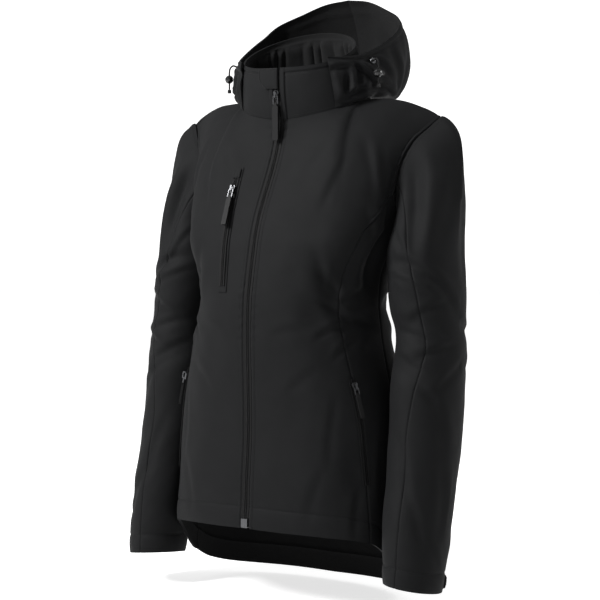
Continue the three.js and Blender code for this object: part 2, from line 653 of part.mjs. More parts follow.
// The tab that tightens the cuff, on the outside from the rear seam forwards
function cuffTab(side) {
  const columns = spread(9);
  return wall(spread(2).map((across) => columns.map((along) => {
    const blunt = along > 0.85 ? 0.22 * ((along - 0.85) / 0.15) ** 2 : 0;
    const over = lerp(TAB.low, TAB.high, lerp(blunt, 1 - blunt, across));
    const down = 1 + (SLEEVE[0].z - CUFF.z - over) / 100;
    const cell = sleeveCell(side, lerp(TAB.from, TAB.to, along), down, LIE + TAB.thick);
    return { ...cell, t: TAB.thick };
  })));
}

for (const [side, hand] of [[1, "left"], [-1, "right"]]) {
  piece(`front_${hand}`, frontPanel(side), SOFTSHELL);
  piece(`side_front_${hand}`, sideFrontPanel(side), SOFTSHELL);
  piece(`sleeve_upper_${hand}`, sleevePanel(side, true), SOFTSHELL);
  piece(`sleeve_under_${hand}`, sleevePanel(side, false), SOFTSHELL);
  piece(`cuff_tab_${hand}`, cuffTab(side), SOFTSHELL);
}
piece("back", backPanel(), SOFTSHELL);

// The collar: deg from centre front round the left to 360, up 0 at its seam and 1 at its top edge
function collarPoint(deg, up) {
  const base = loopPoint(NECK, 1, deg);
  const top = loopPoint(COLLAR_TOP, 1, deg);
  const point = base.lerp(top, up);
  const out = vector(Math.sin(deg * RAD), -Math.cos(deg * RAD), 0);
  point.addScaledVector(out, 2.5 * Math.sin(Math.PI * up));
  return point.setZ(point.z + SEAM_GAP * 1.3 * (1 - up));
}

// How far the rolled edge of the collar stands out, along its top and down its front edges
function rollAt(deg, up) {
  const breadth = Math.abs(collarPoint(deg, up).x) - zipEdge;
  const front = deg < 60 || deg > 300 ? 1 - smoothstep(breadth, ROLL_WIDTH - 1.2, ROLL_WIDTH) : 0;
  return ROLL * Math.max(front, smoothstep(up, 0.895, 0.93));
}

// A cell of the collar, gathered on the inside at the back
function collarCell(deg, up) {
  const n = normalOf(collarPoint, deg, clamp(up, 0.01, 0.99), 0.5, 0.01, 1);
  const along = clamp((deg - GATHERS.from) / (GATHERS.to - GATHERS.from), 0, 1);
  const wave = (1 - Math.cos(2 * Math.PI * GATHERS.count * along)) / 2;
  const t = CLOTH + GATHERS.depth * wave * smoothstep(up, 0, 0.3) * (1 - smoothstep(up, 0.8, 0.9));
  return { p: collarPoint(deg, up).addScaledVector(n, rollAt(deg, up)), n, t };
}

// The angle on the collar at which it reaches a breadth from the centre, at one height
const collarDeg = (x, up) => solve((deg) => collarPoint(deg, up).x, x, 0, 80);

function collar() {
  const front = [0, 5.9, 7.1].map((over) => zipEdge + over);
  const side = [16, 24, 33, 43, 54, 66, 78, 91];
  const rear = spread(4 * GATHERS.count).map((share) => lerp(GATHERS.from, GATHERS.to, share));
  return wall(COLLAR_ROWS.map((up) => {
    const edge = front.map((x) => collarDeg(x, up));
    const degrees = [
      ...edge, ...side, ...rear, ...[...side].reverse().map((deg) => 360 - deg),
      ...[...edge].reverse().map((deg) => 360 - deg),
    ];
    return degrees.map((deg) => collarCell(deg, up));
  }));
}
piece("collar", collar(), SOFTSHELL);

// The hood, worn down: deg round the collar on one side, up 0 at its seam and 1 at the rim
function hoodPoint(side, deg, up) {
  const at = (table, column) => read(table, "deg", deg, column);
  const out = vector(Math.sin(deg * RAD), -Math.cos(deg * RAD), 0);
  const seam = loopPoint(NECK, 1, deg).addScaledVector(out, HOOD_OFF_COLLAR);
  seam.z += HOOD_LIFT;
  const rim = vector(at(HOOD_RIM, "x"), at(HOOD_RIM, "y"), at(HOOD_RIM, "z"));
  const low = seam.clone().addScaledVector(out, at(HOOD_SWELL, "lowOut"));
  low.z += at(HOOD_SWELL, "lowUp");
  const high = rim.clone().addScaledVector(out, at(HOOD_SWELL, "highOut"));
  high.z -= at(HOOD_SWELL, "highDown");
  const curve = new THREE.CubicBezierCurve3(seam, low, high, rim);
  return mirrored(curve.getPoint(clamp(up, 0, 1)), side);
}

// A cell of the hood, with its folds and gathers and the rolled edge of its rim
function hoodCell(side, deg, up) {
  const at = [Math.min(deg, 179.4), clamp(up, 0.01, 0.99)];
  const n = normalOf((a, b) => hoodPoint(side, a, b), ...at, 0.5, 0.01, side);
  if (deg > 179.5) n.setX(0).normalize();
  const rise = foldRise(HOOD_FOLDS, deg, "deg", up, "height") + ROLL * smoothstep(up, 0.93, 0.965);
  return { p: hoodPoint(side, deg, up).addScaledVector(n, rise), n, t: CLOTH };
}

// Half of the hood, from its front edge on the collar to its centre seam
function hoodHalf(side) {
  const degrees = spread(HOOD_COLUMNS).map((share) => lerp(HOOD_RIM[0].deg, 180, share));
  return wall(HOOD_ROWS.map((up) => degrees.map((deg) => {
    const cell = hoodCell(side, deg, up);
    if (deg > 179.5) cell.p.setX((side * SEAM_GAP) / 2);
    return cell;
  })));
}
piece("hood_left", hoodHalf(1), SOFTSHELL);
piece("hood_right", hoodHalf(-1), SOFTSHELL);

// Cells across the main zip at one row, from breadths on either side of the centre
const ZIP_COLUMNS = [-ZIP_WIDTH / 2, -COIL_WIDTH / 2 - 0.4, -COIL_WIDTH / 2, COIL_WIDTH / 2,
  COIL_WIDTH / 2 + 0.4, ZIP_WIDTH / 2];
const zipLift = (column) => (column > 1 && column < 4 ? COIL_RISE - ZIP_SINK : -ZIP_SINK);
const zipThick = (column) => (column > 1 && column < 4 ? TAPE + COIL_RISE : TAPE);

function mainZip() {
  const heights = [BOX.top + LIE, ...rowHeights(1).filter((z) => z > BOX.top + 4)];
  const across = (cellAt) => ZIP_COLUMNS.map((x, column) => ({
    ...cellAt(Math.sign(x), Math.abs(x), zipLift(column)),
    t: zipThick(column),
  }));
  const onBody = heights.map((z) => across((side, x, lift) => frontCell(side, x, z, lift)));
  const onYoke = UPPER_FRONT.slice(1).map((v) => across((side, x, lift) => {
    const share = solve((q) => yokePoint(1, "front", q, v).x, x, 0, 1);
    return yokeCell(side, "front", share, v, lift);
  }));
  const onCollar = COLLAR_ROWS.slice(1, -1).map((up) => across((side, x, lift) => {
    const deg = side > 0 ? collarDeg(x, up) : 360 - collarDeg(x, up);
    const cell = collarCell(deg, up);
    return { p: collarPoint(deg, up).addScaledVector(cell.n, lift), n: cell.n };
  }));
  return wall([...onBody, ...onYoke, ...onCollar]);
}
piece("zip_main", mainZip(), TRIM);

// The chin guard folds over the top of the zip from the wearer's right
function chinGuard() {
  const lift = ROLL + LIE + GUARD.thick;
  return wall(spread(5).map((high) => spread(7).map((share) => {
    const x = lerp(GUARD.from, GUARD.to, share);
    const corner = 0.16 * (1 - smoothstep(share, 0, 0.4));
    const up = lerp(GUARD.low + corner, 0.995, high);
    const deg = x > 0 ? collarDeg(x, up) : 360 - collarDeg(-x, up);
    const n = collarCell(deg, up).n;
    return { p: collarPoint(deg, up).addScaledVector(n, lift), n, t: GUARD.thick };
  })));
}
piece("chin_guard", chinGuard(), SOFTSHELL);

// A zip laid on the cloth: rows of centre places, with a function for a cell beside each
function laidZip(rows, wide, lift, cellAt) {
  const half = COIL_WIDTH / 2 - 0.4;
  const columns = [-wide / 2, -half - 0.4, -half, half, half + 0.4, wide / 2];
  return wall(rows.map((row) => columns.map((offset, column) => {
    const raised = column > 1 && column < 4 ? COIL_RISE : 0;
    return { ...cellAt(row, offset, lift + TAPE + raised), t: TAPE + raised };
  })));
}

const chestX = (z) => lerp(CHEST.topX, CHEST.bottomX, (CHEST.top - z) / (CHEST.top - CHEST.bottom));
const chestCell = (z, offset, lift) => frontCell(-1, chestX(z) + offset, z, lift);
const chestRows = (top, bottom, count) => spread(count).map((share) => lerp(bottom, top, share));
const onWelt = LAID + CHEST.thick + LIE;

function chestBand(top, bottom, wide, lift, thick, count) {
  return wall(chestRows(top, bottom, count).map((z) => [-0.5, 0, 0.5].map((share) => ({
    ...chestCell(z, share * wide, lift + thick),
    t: thick,
  }))));
}
piece("chest_welt", chestBand(CHEST.top, CHEST.bottom, CHEST.wide, LAID, CHEST.thick, 12), SOFTSHELL);
piece("chest_garage", chestBand(CHEST_ZIP.garage, CHEST_ZIP.top + 1, 12, onWelt, 1.8, 2), SOFTSHELL);
const chestZipRows = chestRows(CHEST_ZIP.top, CHEST_ZIP.bottom, 12);
piece("zip_chest", laidZip(chestZipRows, CHEST.zipWide, onWelt, chestCell), TRIM);

// A cell near the princess seam, at a distance round the body from it
function besideSeam(side, z, offset, lift) {
  const deg = read(PRINCESS, "z", z, "deg");
  const perDegree = ringPoint(side, deg + 0.5, z).distanceTo(ringPoint(side, deg - 0.5, z));
  return ringCell(side, deg + offset / perDegree, z, lift);
}

// Joins one closed solid to another, or cuts it away
function joined(first, second, way) {
  const solid = (geometry) => {
    const plain = geometry.clone();
    plain.deleteAttribute("normal");
    plain.deleteAttribute("uv");
    const merged = mergeVertices(plain, 1e-4);
    return new wasm.Manifold(new wasm.Mesh({
      numProp: 3,
      vertProperties: Float32Array.from(merged.attributes.position.array),
      triVerts: Uint32Array.from(merged.index.array),
    }));
  };
  const mesh = solid(first)[way](solid(second)).getMesh();
  const geometry = new THREE.BufferGeometry();
  geometry.setAttribute("position", new THREE.Float32BufferAttribute(mesh.vertProperties, 3));
  geometry.setIndex([...mesh.triVerts]);
  geometry.computeVertexNormals();
  return geometry;
}

// A flat outline given a thickness, centred on its plane
function plate(points, thick, hole) {
  const shape = new THREE.Shape(points.map(([x, y]) => new THREE.Vector2(x, y)));
  if (hole) shape.holes.push(new THREE.Path(hole.map(([x, y]) => new THREE.Vector2(x, y))));
  const geometry = new THREE.ExtrudeGeometry(shape, { depth: thick, bevelEnabled: false });
  return geometry.translate(0, 0, -thick / 2);
}

const rectangle = (x0, y0, x1, y1) => [[x0, y0], [x1, y0], [x1, y1], [x0, y1]];

// A frame on the cloth: x across, y up along it and z out of it
function frameAt(point, normal, up) {
  const out = normal.clone().normalize();
  const along = up.clone().addScaledVector(out, -up.dot(out)).normalize();
  const across = along.clone().cross(out);
  const group = new THREE.Group();
  group.quaternion.setFromRotationMatrix(new THREE.Matrix4().makeBasis(across, along, out));
  group.position.copy(point);
  jacket.add(group);
  return group;
}

// Adds a named piece inside a frame
function fitted(frame, name, geometry, look, place = vector(0, 0, 0), tilt = 0) {
  const mesh = new THREE.Mesh(geometry, new THREE.MeshStandardMaterial(look));
  mesh.name = name;
  mesh.position.copy(place);
  mesh.rotation.x = tilt;
  frame.add(mesh);
}

// The slider: a plate with tapered ends, and an arch over the link's crossbar
function sliderGeometry() {
  const half = SLIDER.wide / 2;
  const end = SLIDER.long / 2;
  const outline = [[-half + 1.6, -end], [half - 1.6, -end], [half - 0.8, 0], [half, end - 2],
    [half - 2, end], [-half + 2, end], [-half, end - 2], [-half + 0.8, 0]];
  const body = plate(outline, SLIDER.thick);
  const top = SLIDER.thick / 2;
  const reach = end - 0.5;
  const arch = plate([
    [-reach, top - 0.4], [-reach, top + SLIDER.archRise - 1.2], [-reach + 1.2, top + SLIDER.archRise],
    [reach - 1.2, top + SLIDER.archRise], [reach, top + SLIDER.archRise - 1.2], [reach, top - 0.4],
    [reach - SLIDER.leg, top - 0.4], [reach - SLIDER.leg, top + SLIDER.window],
    [-reach + SLIDER.leg, top + SLIDER.window], [-reach + SLIDER.leg, top - 0.4],
  ], SLIDER.arch);
  arch.applyMatrix4(new THREE.Matrix4().makeBasis(vector(0, 1, 0), vector(0, 0, 1), vector(1, 0, 0)));
  return joined(body, arch, "add");
}

// The link: a flat ring whose upper bar runs under the arch, at the origin
function linkGeometry(pull) {
  const half = pull.linkWide / 2;
  const bottom = LINK / 2 - pull.linkLong;
  const outer = [[-half, bottom + 1.2], [-half + 1.2, bottom], [half - 1.2, bottom], [half, bottom + 1.2],
    [half, -LINK / 2], [half - 1.4, LINK / 2], [-half + 1.4, LINK / 2], [-half, -LINK / 2]];
  return plate(outer, LINK, rectangle(-half + LINK, bottom + LINK, half - LINK, -LINK / 2));
}

// The tab: its narrow head closes round the link's lower bar
function tabGeometry(pull) {
  const bar = LINK - pull.linkLong;
  const head = pull.linkWide / 2 - LINK - 0.35;
  const half = pull.tabWide / 2;
  const low = bar - pull.tabLong;
  const outline = [
    [-half + 1.4, low], [half - 1.4, low], [half, low + 1.4], [half, bar - 4], [head, bar - 1.6],
    [head, bar + 2], [-head, bar + 2], [-head, bar - 1.6], [-half, bar - 4], [-half, low + 1.4],
  ];
  const slot = plate(rectangle(-half - 1, bar - 1.05, half + 1, bar + 1.05), LINK + 0.7);
  return joined(plate(outline, TAB_THICK), slot, "subtract");
}

// A slider on its coil, with the link and tab that hang from it
function zipPull(prefix, frame, pull, coilTop) {
  const middle = coilTop + LIE + SLIDER.thick / 2;
  fitted(frame, `${prefix}_slider`, sliderGeometry(), GUNMETAL, vector(0, 0, middle));
  const pivot = vector(0, -CROSSBAR_DROP, middle + SLIDER.thick / 2 + SLIDER.window / 2);
  fitted(frame, `${prefix}_pull_link`, linkGeometry(pull), GUNMETAL, pivot, -pull.tilt * RAD);
  fitted(frame, `${prefix}_pull_tab`, tabGeometry(pull), TRIM, pivot, -pull.tilt * RAD);
}

// The main slider on the collar, under the chin guard
const mainUp = solve((up) => collarPoint(0, up).z, MAIN_PULL.z, 0, 1);
const mainNormal = collarCell(0, mainUp).n.setX(0);
const mainFrame = frameAt(collarPoint(0, mainUp), mainNormal, vector(0, 0, 1));
zipPull("zip_main", mainFrame, MAIN_PULL, COIL_RISE - ZIP_SINK);

// The box at the foot of the main zip
const boxCell = frontCell(1, 0.5, BOX.top - BOX.high / 2);
const boxFrame = frameAt(boxCell.p.clone().setX(0), boxCell.n.clone().setX(0), vector(0, 0, 1));
const boxHalf = BOX.wide / 2;
const boxOutline = [
  [-boxHalf, -BOX.high / 2 + 1], [-boxHalf + 1, -BOX.high / 2], [boxHalf - 1, -BOX.high / 2],
  [boxHalf, -BOX.high / 2 + 1], [boxHalf, BOX.high / 2], [-boxHalf, BOX.high / 2],
];
fitted(boxFrame, "zip_main_box", plate(boxOutline, BOX.thick), GUNMETAL, vector(0, 0, -1));

// The chest slider
const onChest = chestCell(CHEST_PULL.z, 0, onWelt + TAPE + COIL_RISE);
const chestUp = chestCell(CHEST_PULL.z + 8, 0, 0).p.sub(chestCell(CHEST_PULL.z - 25, 0, 0).p);
zipPull("zip_chest", frameAt(onChest.p, onChest.n, chestUp), CHEST_PULL, 0);

for (const [side, hand] of [[1, "left"], [-1, "right"]]) {
  const rows = spread(9).map((share) => lerp(HAND_ZIP.bottom, HAND_ZIP.top, share));
  const cellAt = (z, offset, lift) => besideSeam(side, z, offset, lift);
  piece(`zip_hand_${hand}`, laidZip(rows, HAND_ZIP.wide, LAID, cellAt), TRIM);
  const on = besideSeam(side, HAND_PULL.z, 0, LAID + TAPE + COIL_RISE);
  const up = besideSeam(side, HAND_PULL.z + 10, 0, 0).p.sub(besideSeam(side, HAND_PULL.z - 25, 0, 0).p);
  zipPull(`zip_hand_${hand}`, frameAt(on.p, on.n, up), HAND_PULL, 0);
}

// A solid of revolution about its own y axis from rows of radius and height
function turned(rows, sides) {
  return new THREE.LatheGeometry(rows.map(([r, y]) => new THREE.Vector2(r, y)), sides);
}

// The lock: a rounded body with a hole for the cord and a blind bore for the plunger
function lockGeometry() {
  const rows = spread(8).map((share) => {
    const angle = lerp(-90, 90, share) * RAD;
    return [share % 1 ? LOCK.radius * Math.cos(angle) : 0, LOCK.half * Math.sin(angle)];
  });
  const body = turned(rows, 16).rotateZ(-Math.PI / 2).translate(LOCK.centre, 0, 0);
  const bore = new THREE.CylinderGeometry(LOCK.bore, LOCK.bore, 20, 16).rotateZ(Math.PI / 2);
  bore.translate(LOCK.blind + 10, 0, 0);
  const hole = new THREE.CylinderGeometry(LOCK.cordHole, LOCK.cordHole, 20, 12).rotateX(Math.PI / 2);
  return joined(joined(body, bore, "subtract"), hole, "subtract");
}

function plungerGeometry() {
  const long = PLUNGER.outer - PLUNGER.inner;
  const outline = [[0, 0], [PLUNGER.radius, 0], [PLUNGER.radius, long - 0.8], [2.4, long], [0, long]];
  const rod = turned(outline, 16);
  rod.rotateZ(-Math.PI / 2).translate(PLUNGER.inner, 0, 0);
  const slot = rectangle(PLUNGER.slotFrom, -PLUNGER.slotHalf, PLUNGER.slotTo, PLUNGER.slotHalf);
  return joined(rod, plate(slot, 20), "subtract");
}

for (const [side, hand] of [[1, "left"], [-1, "right"]]) {
  const up = solve((share) => hoodPoint(1, CORD.deg, share).z, CORD.z, 0.5, 1);
  const cell = hoodCell(side, CORD.deg, up);
  const eyelet = frameAt(cell.p, cell.n, vector(0, 0, 1));
  const ring = turned([[EYELET.inner, 0], [EYELET.outer, 0], [EYELET.outer - 0.6, EYELET.thick],
    [EYELET.inner, EYELET.thick], [EYELET.inner, 0]], 20);
  fitted(eyelet, `eyelet_${hand}`, ring.rotateX(Math.PI / 2), GUNMETAL, vector(0, 0, LIE));
  const level = vector(cell.n.x, cell.n.y, 0).normalize();
  const from = (out, down) => cell.p.clone().addScaledVector(level, out).add(vector(0, 0, -down));
  const start = cell.p.clone().addScaledVector(cell.n, LIE);
  const route = new THREE.CatmullRomCurve3([
    start, cell.p.clone().addScaledVector(cell.n, 4), from(9.5, -2.6), from(CORD.out - 1.2, 1.5),
    from(CORD.out, 8), from(CORD.out, LOCK.drop), from(CORD.out, CORD.fall),
  ]);
  const section = new THREE.Shape(spread(CORD_SIDES).slice(1).map((share) => {
    const angle = 2 * Math.PI * share;
    return new THREE.Vector2(Math.cos(angle), Math.sin(angle)).multiplyScalar(CORD.diameter / 2);
  }));
  const cord = new THREE.ExtrudeGeometry(section, { steps: 14, bevelEnabled: false, extrudePath: route });
  piece(`hood_cord_${hand}`, cord, TRIM);
  const forward = level.clone().cross(vector(0, 0, -side));
  const lock = frameAt(from(CORD.out, LOCK.drop), vector(0, 0, 1), vector(0, 0, 1).cross(forward));
  fitted(lock, `cord_lock_${hand}`, lockGeometry(), PLASTIC);
  fitted(lock, `cord_plunger_${hand}`, plungerGeometry(), PLASTIC);
  const bead = turned([[0, 0], [STOP.radius - 0.6, 0], [STOP.radius, 0.8], [STOP.radius, STOP.long - 0.8],
    [STOP.radius - 0.6, STOP.long], [0, STOP.long]], 12).rotateX(Math.PI / 2);
  bead.translate(0, 0, -STOP.long - SEAM_GAP);
  const foot = frameAt(from(CORD.out, CORD.fall), vector(0, 0, 1), forward);
  fitted(foot, `cord_end_${hand}`, bead, PLASTIC);
}

export default jacket;
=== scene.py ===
"""A women's hooded softshell jacket in its worn form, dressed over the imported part.

Shapes are worked out in millimetres, in the part's own frame, and put into meshes in metres.
+Z is up, the wearer faces -Y and the wearer's left is +X.
"""
import json
import math

import bpy
import numpy as np
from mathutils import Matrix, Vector


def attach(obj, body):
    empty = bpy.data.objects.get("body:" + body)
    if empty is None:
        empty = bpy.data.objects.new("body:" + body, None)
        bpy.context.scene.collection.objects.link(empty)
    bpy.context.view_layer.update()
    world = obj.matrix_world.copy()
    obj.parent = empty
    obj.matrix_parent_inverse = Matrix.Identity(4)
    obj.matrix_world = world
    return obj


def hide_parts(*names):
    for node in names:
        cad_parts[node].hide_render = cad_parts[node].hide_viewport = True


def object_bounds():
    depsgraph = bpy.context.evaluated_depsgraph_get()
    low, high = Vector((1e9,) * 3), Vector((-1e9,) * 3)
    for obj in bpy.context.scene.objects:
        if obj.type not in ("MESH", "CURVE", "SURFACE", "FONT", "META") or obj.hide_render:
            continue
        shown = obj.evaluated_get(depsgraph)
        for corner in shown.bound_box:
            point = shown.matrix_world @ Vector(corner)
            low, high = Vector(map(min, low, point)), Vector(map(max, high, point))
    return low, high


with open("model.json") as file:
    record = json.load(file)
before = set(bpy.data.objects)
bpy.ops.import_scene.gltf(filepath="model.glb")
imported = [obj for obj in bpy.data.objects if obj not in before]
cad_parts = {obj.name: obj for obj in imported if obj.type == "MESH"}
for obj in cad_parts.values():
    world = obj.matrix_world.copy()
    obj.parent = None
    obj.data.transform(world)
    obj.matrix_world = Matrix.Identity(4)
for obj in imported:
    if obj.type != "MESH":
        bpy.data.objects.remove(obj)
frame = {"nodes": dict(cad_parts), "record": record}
cad_box = [list(corner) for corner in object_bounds()]
nodes = frame["nodes"]
MM = 0.001

# The photographer's camera
# It stands level with the chest, 33 degrees round to the wearer's left and two and a half metres
# off, with a long lens, and looks slightly down at the waist.
CAMERA_TURN = math.radians(33)
CAMERA_AWAY = 2.5
CAMERA_HEIGHT = -0.147
CAMERA_AIM = (0.0086, 0.0056, -0.294)
camera = bpy.data.objects.new("camera", bpy.data.cameras.new("camera"))
bpy.context.scene.collection.objects.link(camera)
camera.data.lens, camera.data.sensor_width = 102, 36
camera.location = (CAMERA_AWAY * math.sin(CAMERA_TURN), -CAMERA_AWAY * math.cos(CAMERA_TURN), CAMERA_HEIGHT)
camera.rotation_euler = (Vector(CAMERA_AIM) - camera.location).to_track_quat("-Z", "Y").to_euler()
bpy.context.scene.camera = camera


# Materials: the socket wrapper and the softshell
# Bonded softshell: a tight matt woven face with a faint sheen, nearly black, and a short fleece inside.
class Wire:
    """A shader socket or number that adds Math nodes to its tree when it is used in a sum."""

    def __init__(self, tree, value):
        self.tree, self.value = tree, value

    def node(self, kind, settings=(), **sockets):
        """Any node: its settings first, then its sockets by name, with spaces as underscores."""
        made = self.tree.nodes.new(kind)
        for key, value in dict(settings).items():
            setattr(made, key, value)
        for key, value in sockets.items():
            label = key.replace("_", " ")
            found = [s for s in made.inputs if s.name.lower() == label.lower() and s.enabled]
            socket = found[0] if found else made.inputs[int(key[1:])]
            if isinstance(value, Wire):
                value = value.value
            if isinstance(value, bpy.types.NodeSocket):
                self.tree.links.new(value, socket)
            else:
                socket.default_value = value
        return made

    def math(self, way, *others, clamp=False):
        values = [self, *others]
        made = self.node("ShaderNodeMath", {"operation": way, "use_clamp": clamp},
                         **{f"i{i}": v for i, v in enumerate(values)})
        return Wire(self.tree, made.outputs[0])

    def __add__(self, other): return self.math("ADD", other)
    def __sub__(self, other): return self.math("SUBTRACT", other)
    def __mul__(self, other): return self.math("MULTIPLY", other)
    def __rsub__(self, other): return Wire(self.tree, other).math("SUBTRACT", self)
    __radd__, __rmul__ = __add__, __mul__

    def mix(self, low, high):
        """A colour between two, by this value."""
        made = self.node("ShaderNodeMix", {"data_type": "RGBA"})
        for socket, value in zip((made.inputs["Factor"], made.inputs[6], made.inputs[7]), (self, low, high)):
            if isinstance(value, Wire):
                self.tree.links.new(value.value, socket)
            else:
                socket.default_value = (*value, 1)
        return Wire(self.tree, made.outputs[2])

    def noise(self, vector, scale, detail=2.0):
        made = self.node("ShaderNodeTexNoise", vector=vector, scale=scale, detail=detail)
        return Wire(self.tree, made.outputs[0])

    def split(self, vector):
        made = self.node("ShaderNodeSeparateXYZ", vector=vector)
        return [Wire(self.tree, out) for out in made.outputs]


def material(name, **constants):
    """A new material with its shader's constant sockets set, its tree's wire and its shader."""
    made = bpy.data.materials.new(name)
    made.use_nodes = True
    shader = made.node_tree.nodes["Principled BSDF"]
    for key, value in constants.items():
        socket = shader.inputs[key.replace("_", " ")]
        socket.default_value = (*value, 1) if isinstance(value, tuple) else value
    return made, Wire(made.node_tree, 0.0), shader


def feed(shader, **links):
    """Leads wires into a shader's sockets."""
    for key, wire in links.items():
        wire.tree.links.new(wire.value, shader.inputs[key.replace("_", " ")])


def coordinates(wire, kind):
    """Object coordinates, or the cloth's own map, in metres."""
    if kind == "cloth":
        return Wire(wire.tree, wire.node("ShaderNodeUVMap", {"uv_map": "cloth"}).outputs[0])
    return Wire(wire.tree, wire.node("ShaderNodeTexCoord").outputs["Object"])


def bump(wire, height, strength, depth):
    made = wire.node("ShaderNodeBump", strength=strength, distance=depth, height=height)
    return Wire(wire.tree, made.outputs[0])


SHELL_COLOUR = (0.0052, 0.0054, 0.0058)
SHELL_WORN = (0.0095, 0.0097, 0.0102)
WEAVE_PITCH = 0.0009


def softshell():
    """Softshell: a plain weave of 0.9 mm, slow mottling of shade, and roughness that follows the grain."""
    made, wire, shader = material("softshell", Sheen_Weight=0.02, Sheen_Roughness=0.4, Specular_IOR_Level=0.1)
    place = coordinates(wire, "cloth")
    u, v, _ = wire.split(place)
    weave = (u * (2 * math.pi / WEAVE_PITCH)).math("SINE") * (v * (2 * math.pi / WEAVE_PITCH)).math("SINE")
    mottle = wire.noise(coordinates(wire, "object"), 38.0, 4.0)
    grain = wire.noise(coordinates(wire, "object"), 900.0, 2.0)
    shade = (mottle * 0.7 + grain * 0.5 - 0.1).math("MULTIPLY", 1.0, clamp=True)
    feed(shader, Base_Color=shade.mix(SHELL_COLOUR, SHELL_WORN), Roughness=grain * 0.22 + 0.6,
         Normal=bump(wire, weave * 0.4 + grain, 0.25, 0.0004))
    return made


def fleece():
    """The short fleece bonded to the inside: black, dull and finely tufted."""
    made, wire, shader = material("fleece", Sheen_Weight=0.03, Sheen_Roughness=0.7, Specular_IOR_Level=0.1)
    tufts = wire.noise(coordinates(wire, "object"), 1100.0, 3.0)
    clumps = wire.noise(coordinates(wire, "object"), 210.0, 3.0)
    shade = (tufts * 0.6 + clumps * 0.4).mix((0.0032, 0.0033, 0.0035), (0.009, 0.0091, 0.0095))
    feed(shader, Base_Color=shade, Roughness=tufts * 0.1 + 0.85,
         Normal=bump(wire, tufts + clumps, 0.6, 0.0008))
    return made


SOFTSHELL = softshell()
FLEECE = fleece()


# The body's form
# The fronts, side fronts and back are one surface round the wearer, cut by seams. Below the underarm it
# is a stack of rounded rings, and above it curved columns run up to the neck, shoulders and armholes.
TORSO = dict(
    z=[-760, -600, -540, -480, -440, -400, -340, -294, -250, -210, -190, -170],
    half=[183, 181, 178, 173, 168, 159, 145, 141, 145, 160, 167, 172],
    front=[-127, -126, -123, -119, -118, -119, -121, -119, -112, -104, -98, -91],
    back=[121, 120, 122, 123, 120, 113, 99, 98, 104, 109, 111, 112],
    side=[5, 5, 5, 5, 6, 7, 9, 10, 15, 22, 30, 34],
)
HEM = dict(deg=[0, 35, 66, 78, 90, 103, 130, 180], z=[-613, -617, -629, -649, -685, -703, -715, -720])
PRINCESS = dict(z=[-760, -600, -400, -250, -190], deg=[66, 65, 60, 57, 58])
PRINCESS_TOP = dict(v=[0, 0.125, 0.25, 0.3, 0.375], q=[0.644, 0.775, 0.92, 0.985, 1])
ARMHOLE_FRONT = [(167, 30, -190), (166, 16, -173), (167, 9, -148), (170, 7, -120), (177, 12, -90),
                 (189, 24, -63), (203, 39, -45), (217, 54, -27)]
ARMHOLE_BACK = [(167, 30, -190), (172, 48, -178), (179, 66, -148), (186, 75, -114), (194, 77, -80),
                (205, 71, -48), (217, 54, -27)]
NECK = dict(half=101, mid=30, reach=66, front=-31, rise=49, bend=0.75)
ROUNDNESS = 2.5
UNDERARM = -190
NECK_SHARE = 0.42
SHOULDER_ARCH = 10
HEM_BAND = 31
CLOTH = 2.2
HEM_CLOTH = 4.2
SEAM_GAP = 0.3


def read(table, key, at, name):
    """One column of a table at any place, on a smooth cubic through its rows."""
    keys, values = np.array(table[key], float), np.array(table[name], float)
    last = len(keys) - 1
    before, after = np.maximum(np.arange(last + 1) - 1, 0), np.minimum(np.arange(last + 1) + 1, last)
    slope = (values[after] - values[before]) / (keys[after] - keys[before])
    at = np.asarray(at, float)
    i = np.clip(np.searchsorted(keys, at, side="right") - 1, 0, last - 1)
    span = keys[i + 1] - keys[i]
    t = np.clip((at - keys[i]) / span, 0, 1)
    bend = slope[i] * t * (1 - t) ** 2 - slope[i + 1] * t * t * (1 - t)
    return values[i] + (values[i + 1] - values[i]) * t * t * (3 - 2 * t) + span * bend


def point(x, y, z):
    """Points from three arrays or numbers, with the last axis as x, y, z."""
    return np.stack(np.broadcast_arrays(x, y, z), -1).astype(float)


def unit(v):
    """Vectors made one long."""
    return v / np.maximum(np.linalg.norm(v, axis=-1, keepdims=True), 1e-12)


def smooth(x, low, high):
    """A step from 0 at low to 1 at high, without a kink at either end."""
    t = np.clip((np.asarray(x, float) - low) / (high - low), 0, 1)
    return t * t * (3 - 2 * t)


def bell(x):
    """1 at 0, falling off evenly on both sides."""
    return np.exp(-np.asarray(x, float) ** 2)


def power(value, exponent):
    """A power that keeps the sign."""
    return np.sign(value) * np.abs(value) ** exponent


def hermite(start, start_slope, end, end_slope, t):
    """The curve between two points with a given direction and speed at each end."""
    t = np.asarray(t, float)[..., None]
    h = t * t * (3 - 2 * t)
    return start * (1 - h) + end * h + start_slope * t * (1 - t) ** 2 - end_slope * t * t * (1 - t)


def normal_of(surface, a, b, step_a, step_b, sign):
    """The normal of a surface of two values: its slopes along both, crossed."""
    along_a = surface(a + step_a, b) - surface(a - step_a, b)
    along_b = surface(a, b + step_b) - surface(a, b - step_b)
    return unit(np.cross(along_a, along_b)) * np.asarray(sign, float)[..., None]


def ring_point(side, deg, z):
    """The body below the underarm: a rounded oval whose width and depth follow the table by height."""
    half, middle = read(TORSO, "z", z, "half"), read(TORSO, "z", z, "side")
    cosine = np.cos(np.radians(deg))
    end = np.where(cosine > 0, read(TORSO, "z", z, "front"), read(TORSO, "z", z, "back"))
    x = side * half * power(np.sin(np.radians(deg)), 2 / ROUNDNESS)
    return point(x, middle - np.abs(end - middle) * power(cosine, 2 / ROUNDNESS), z)


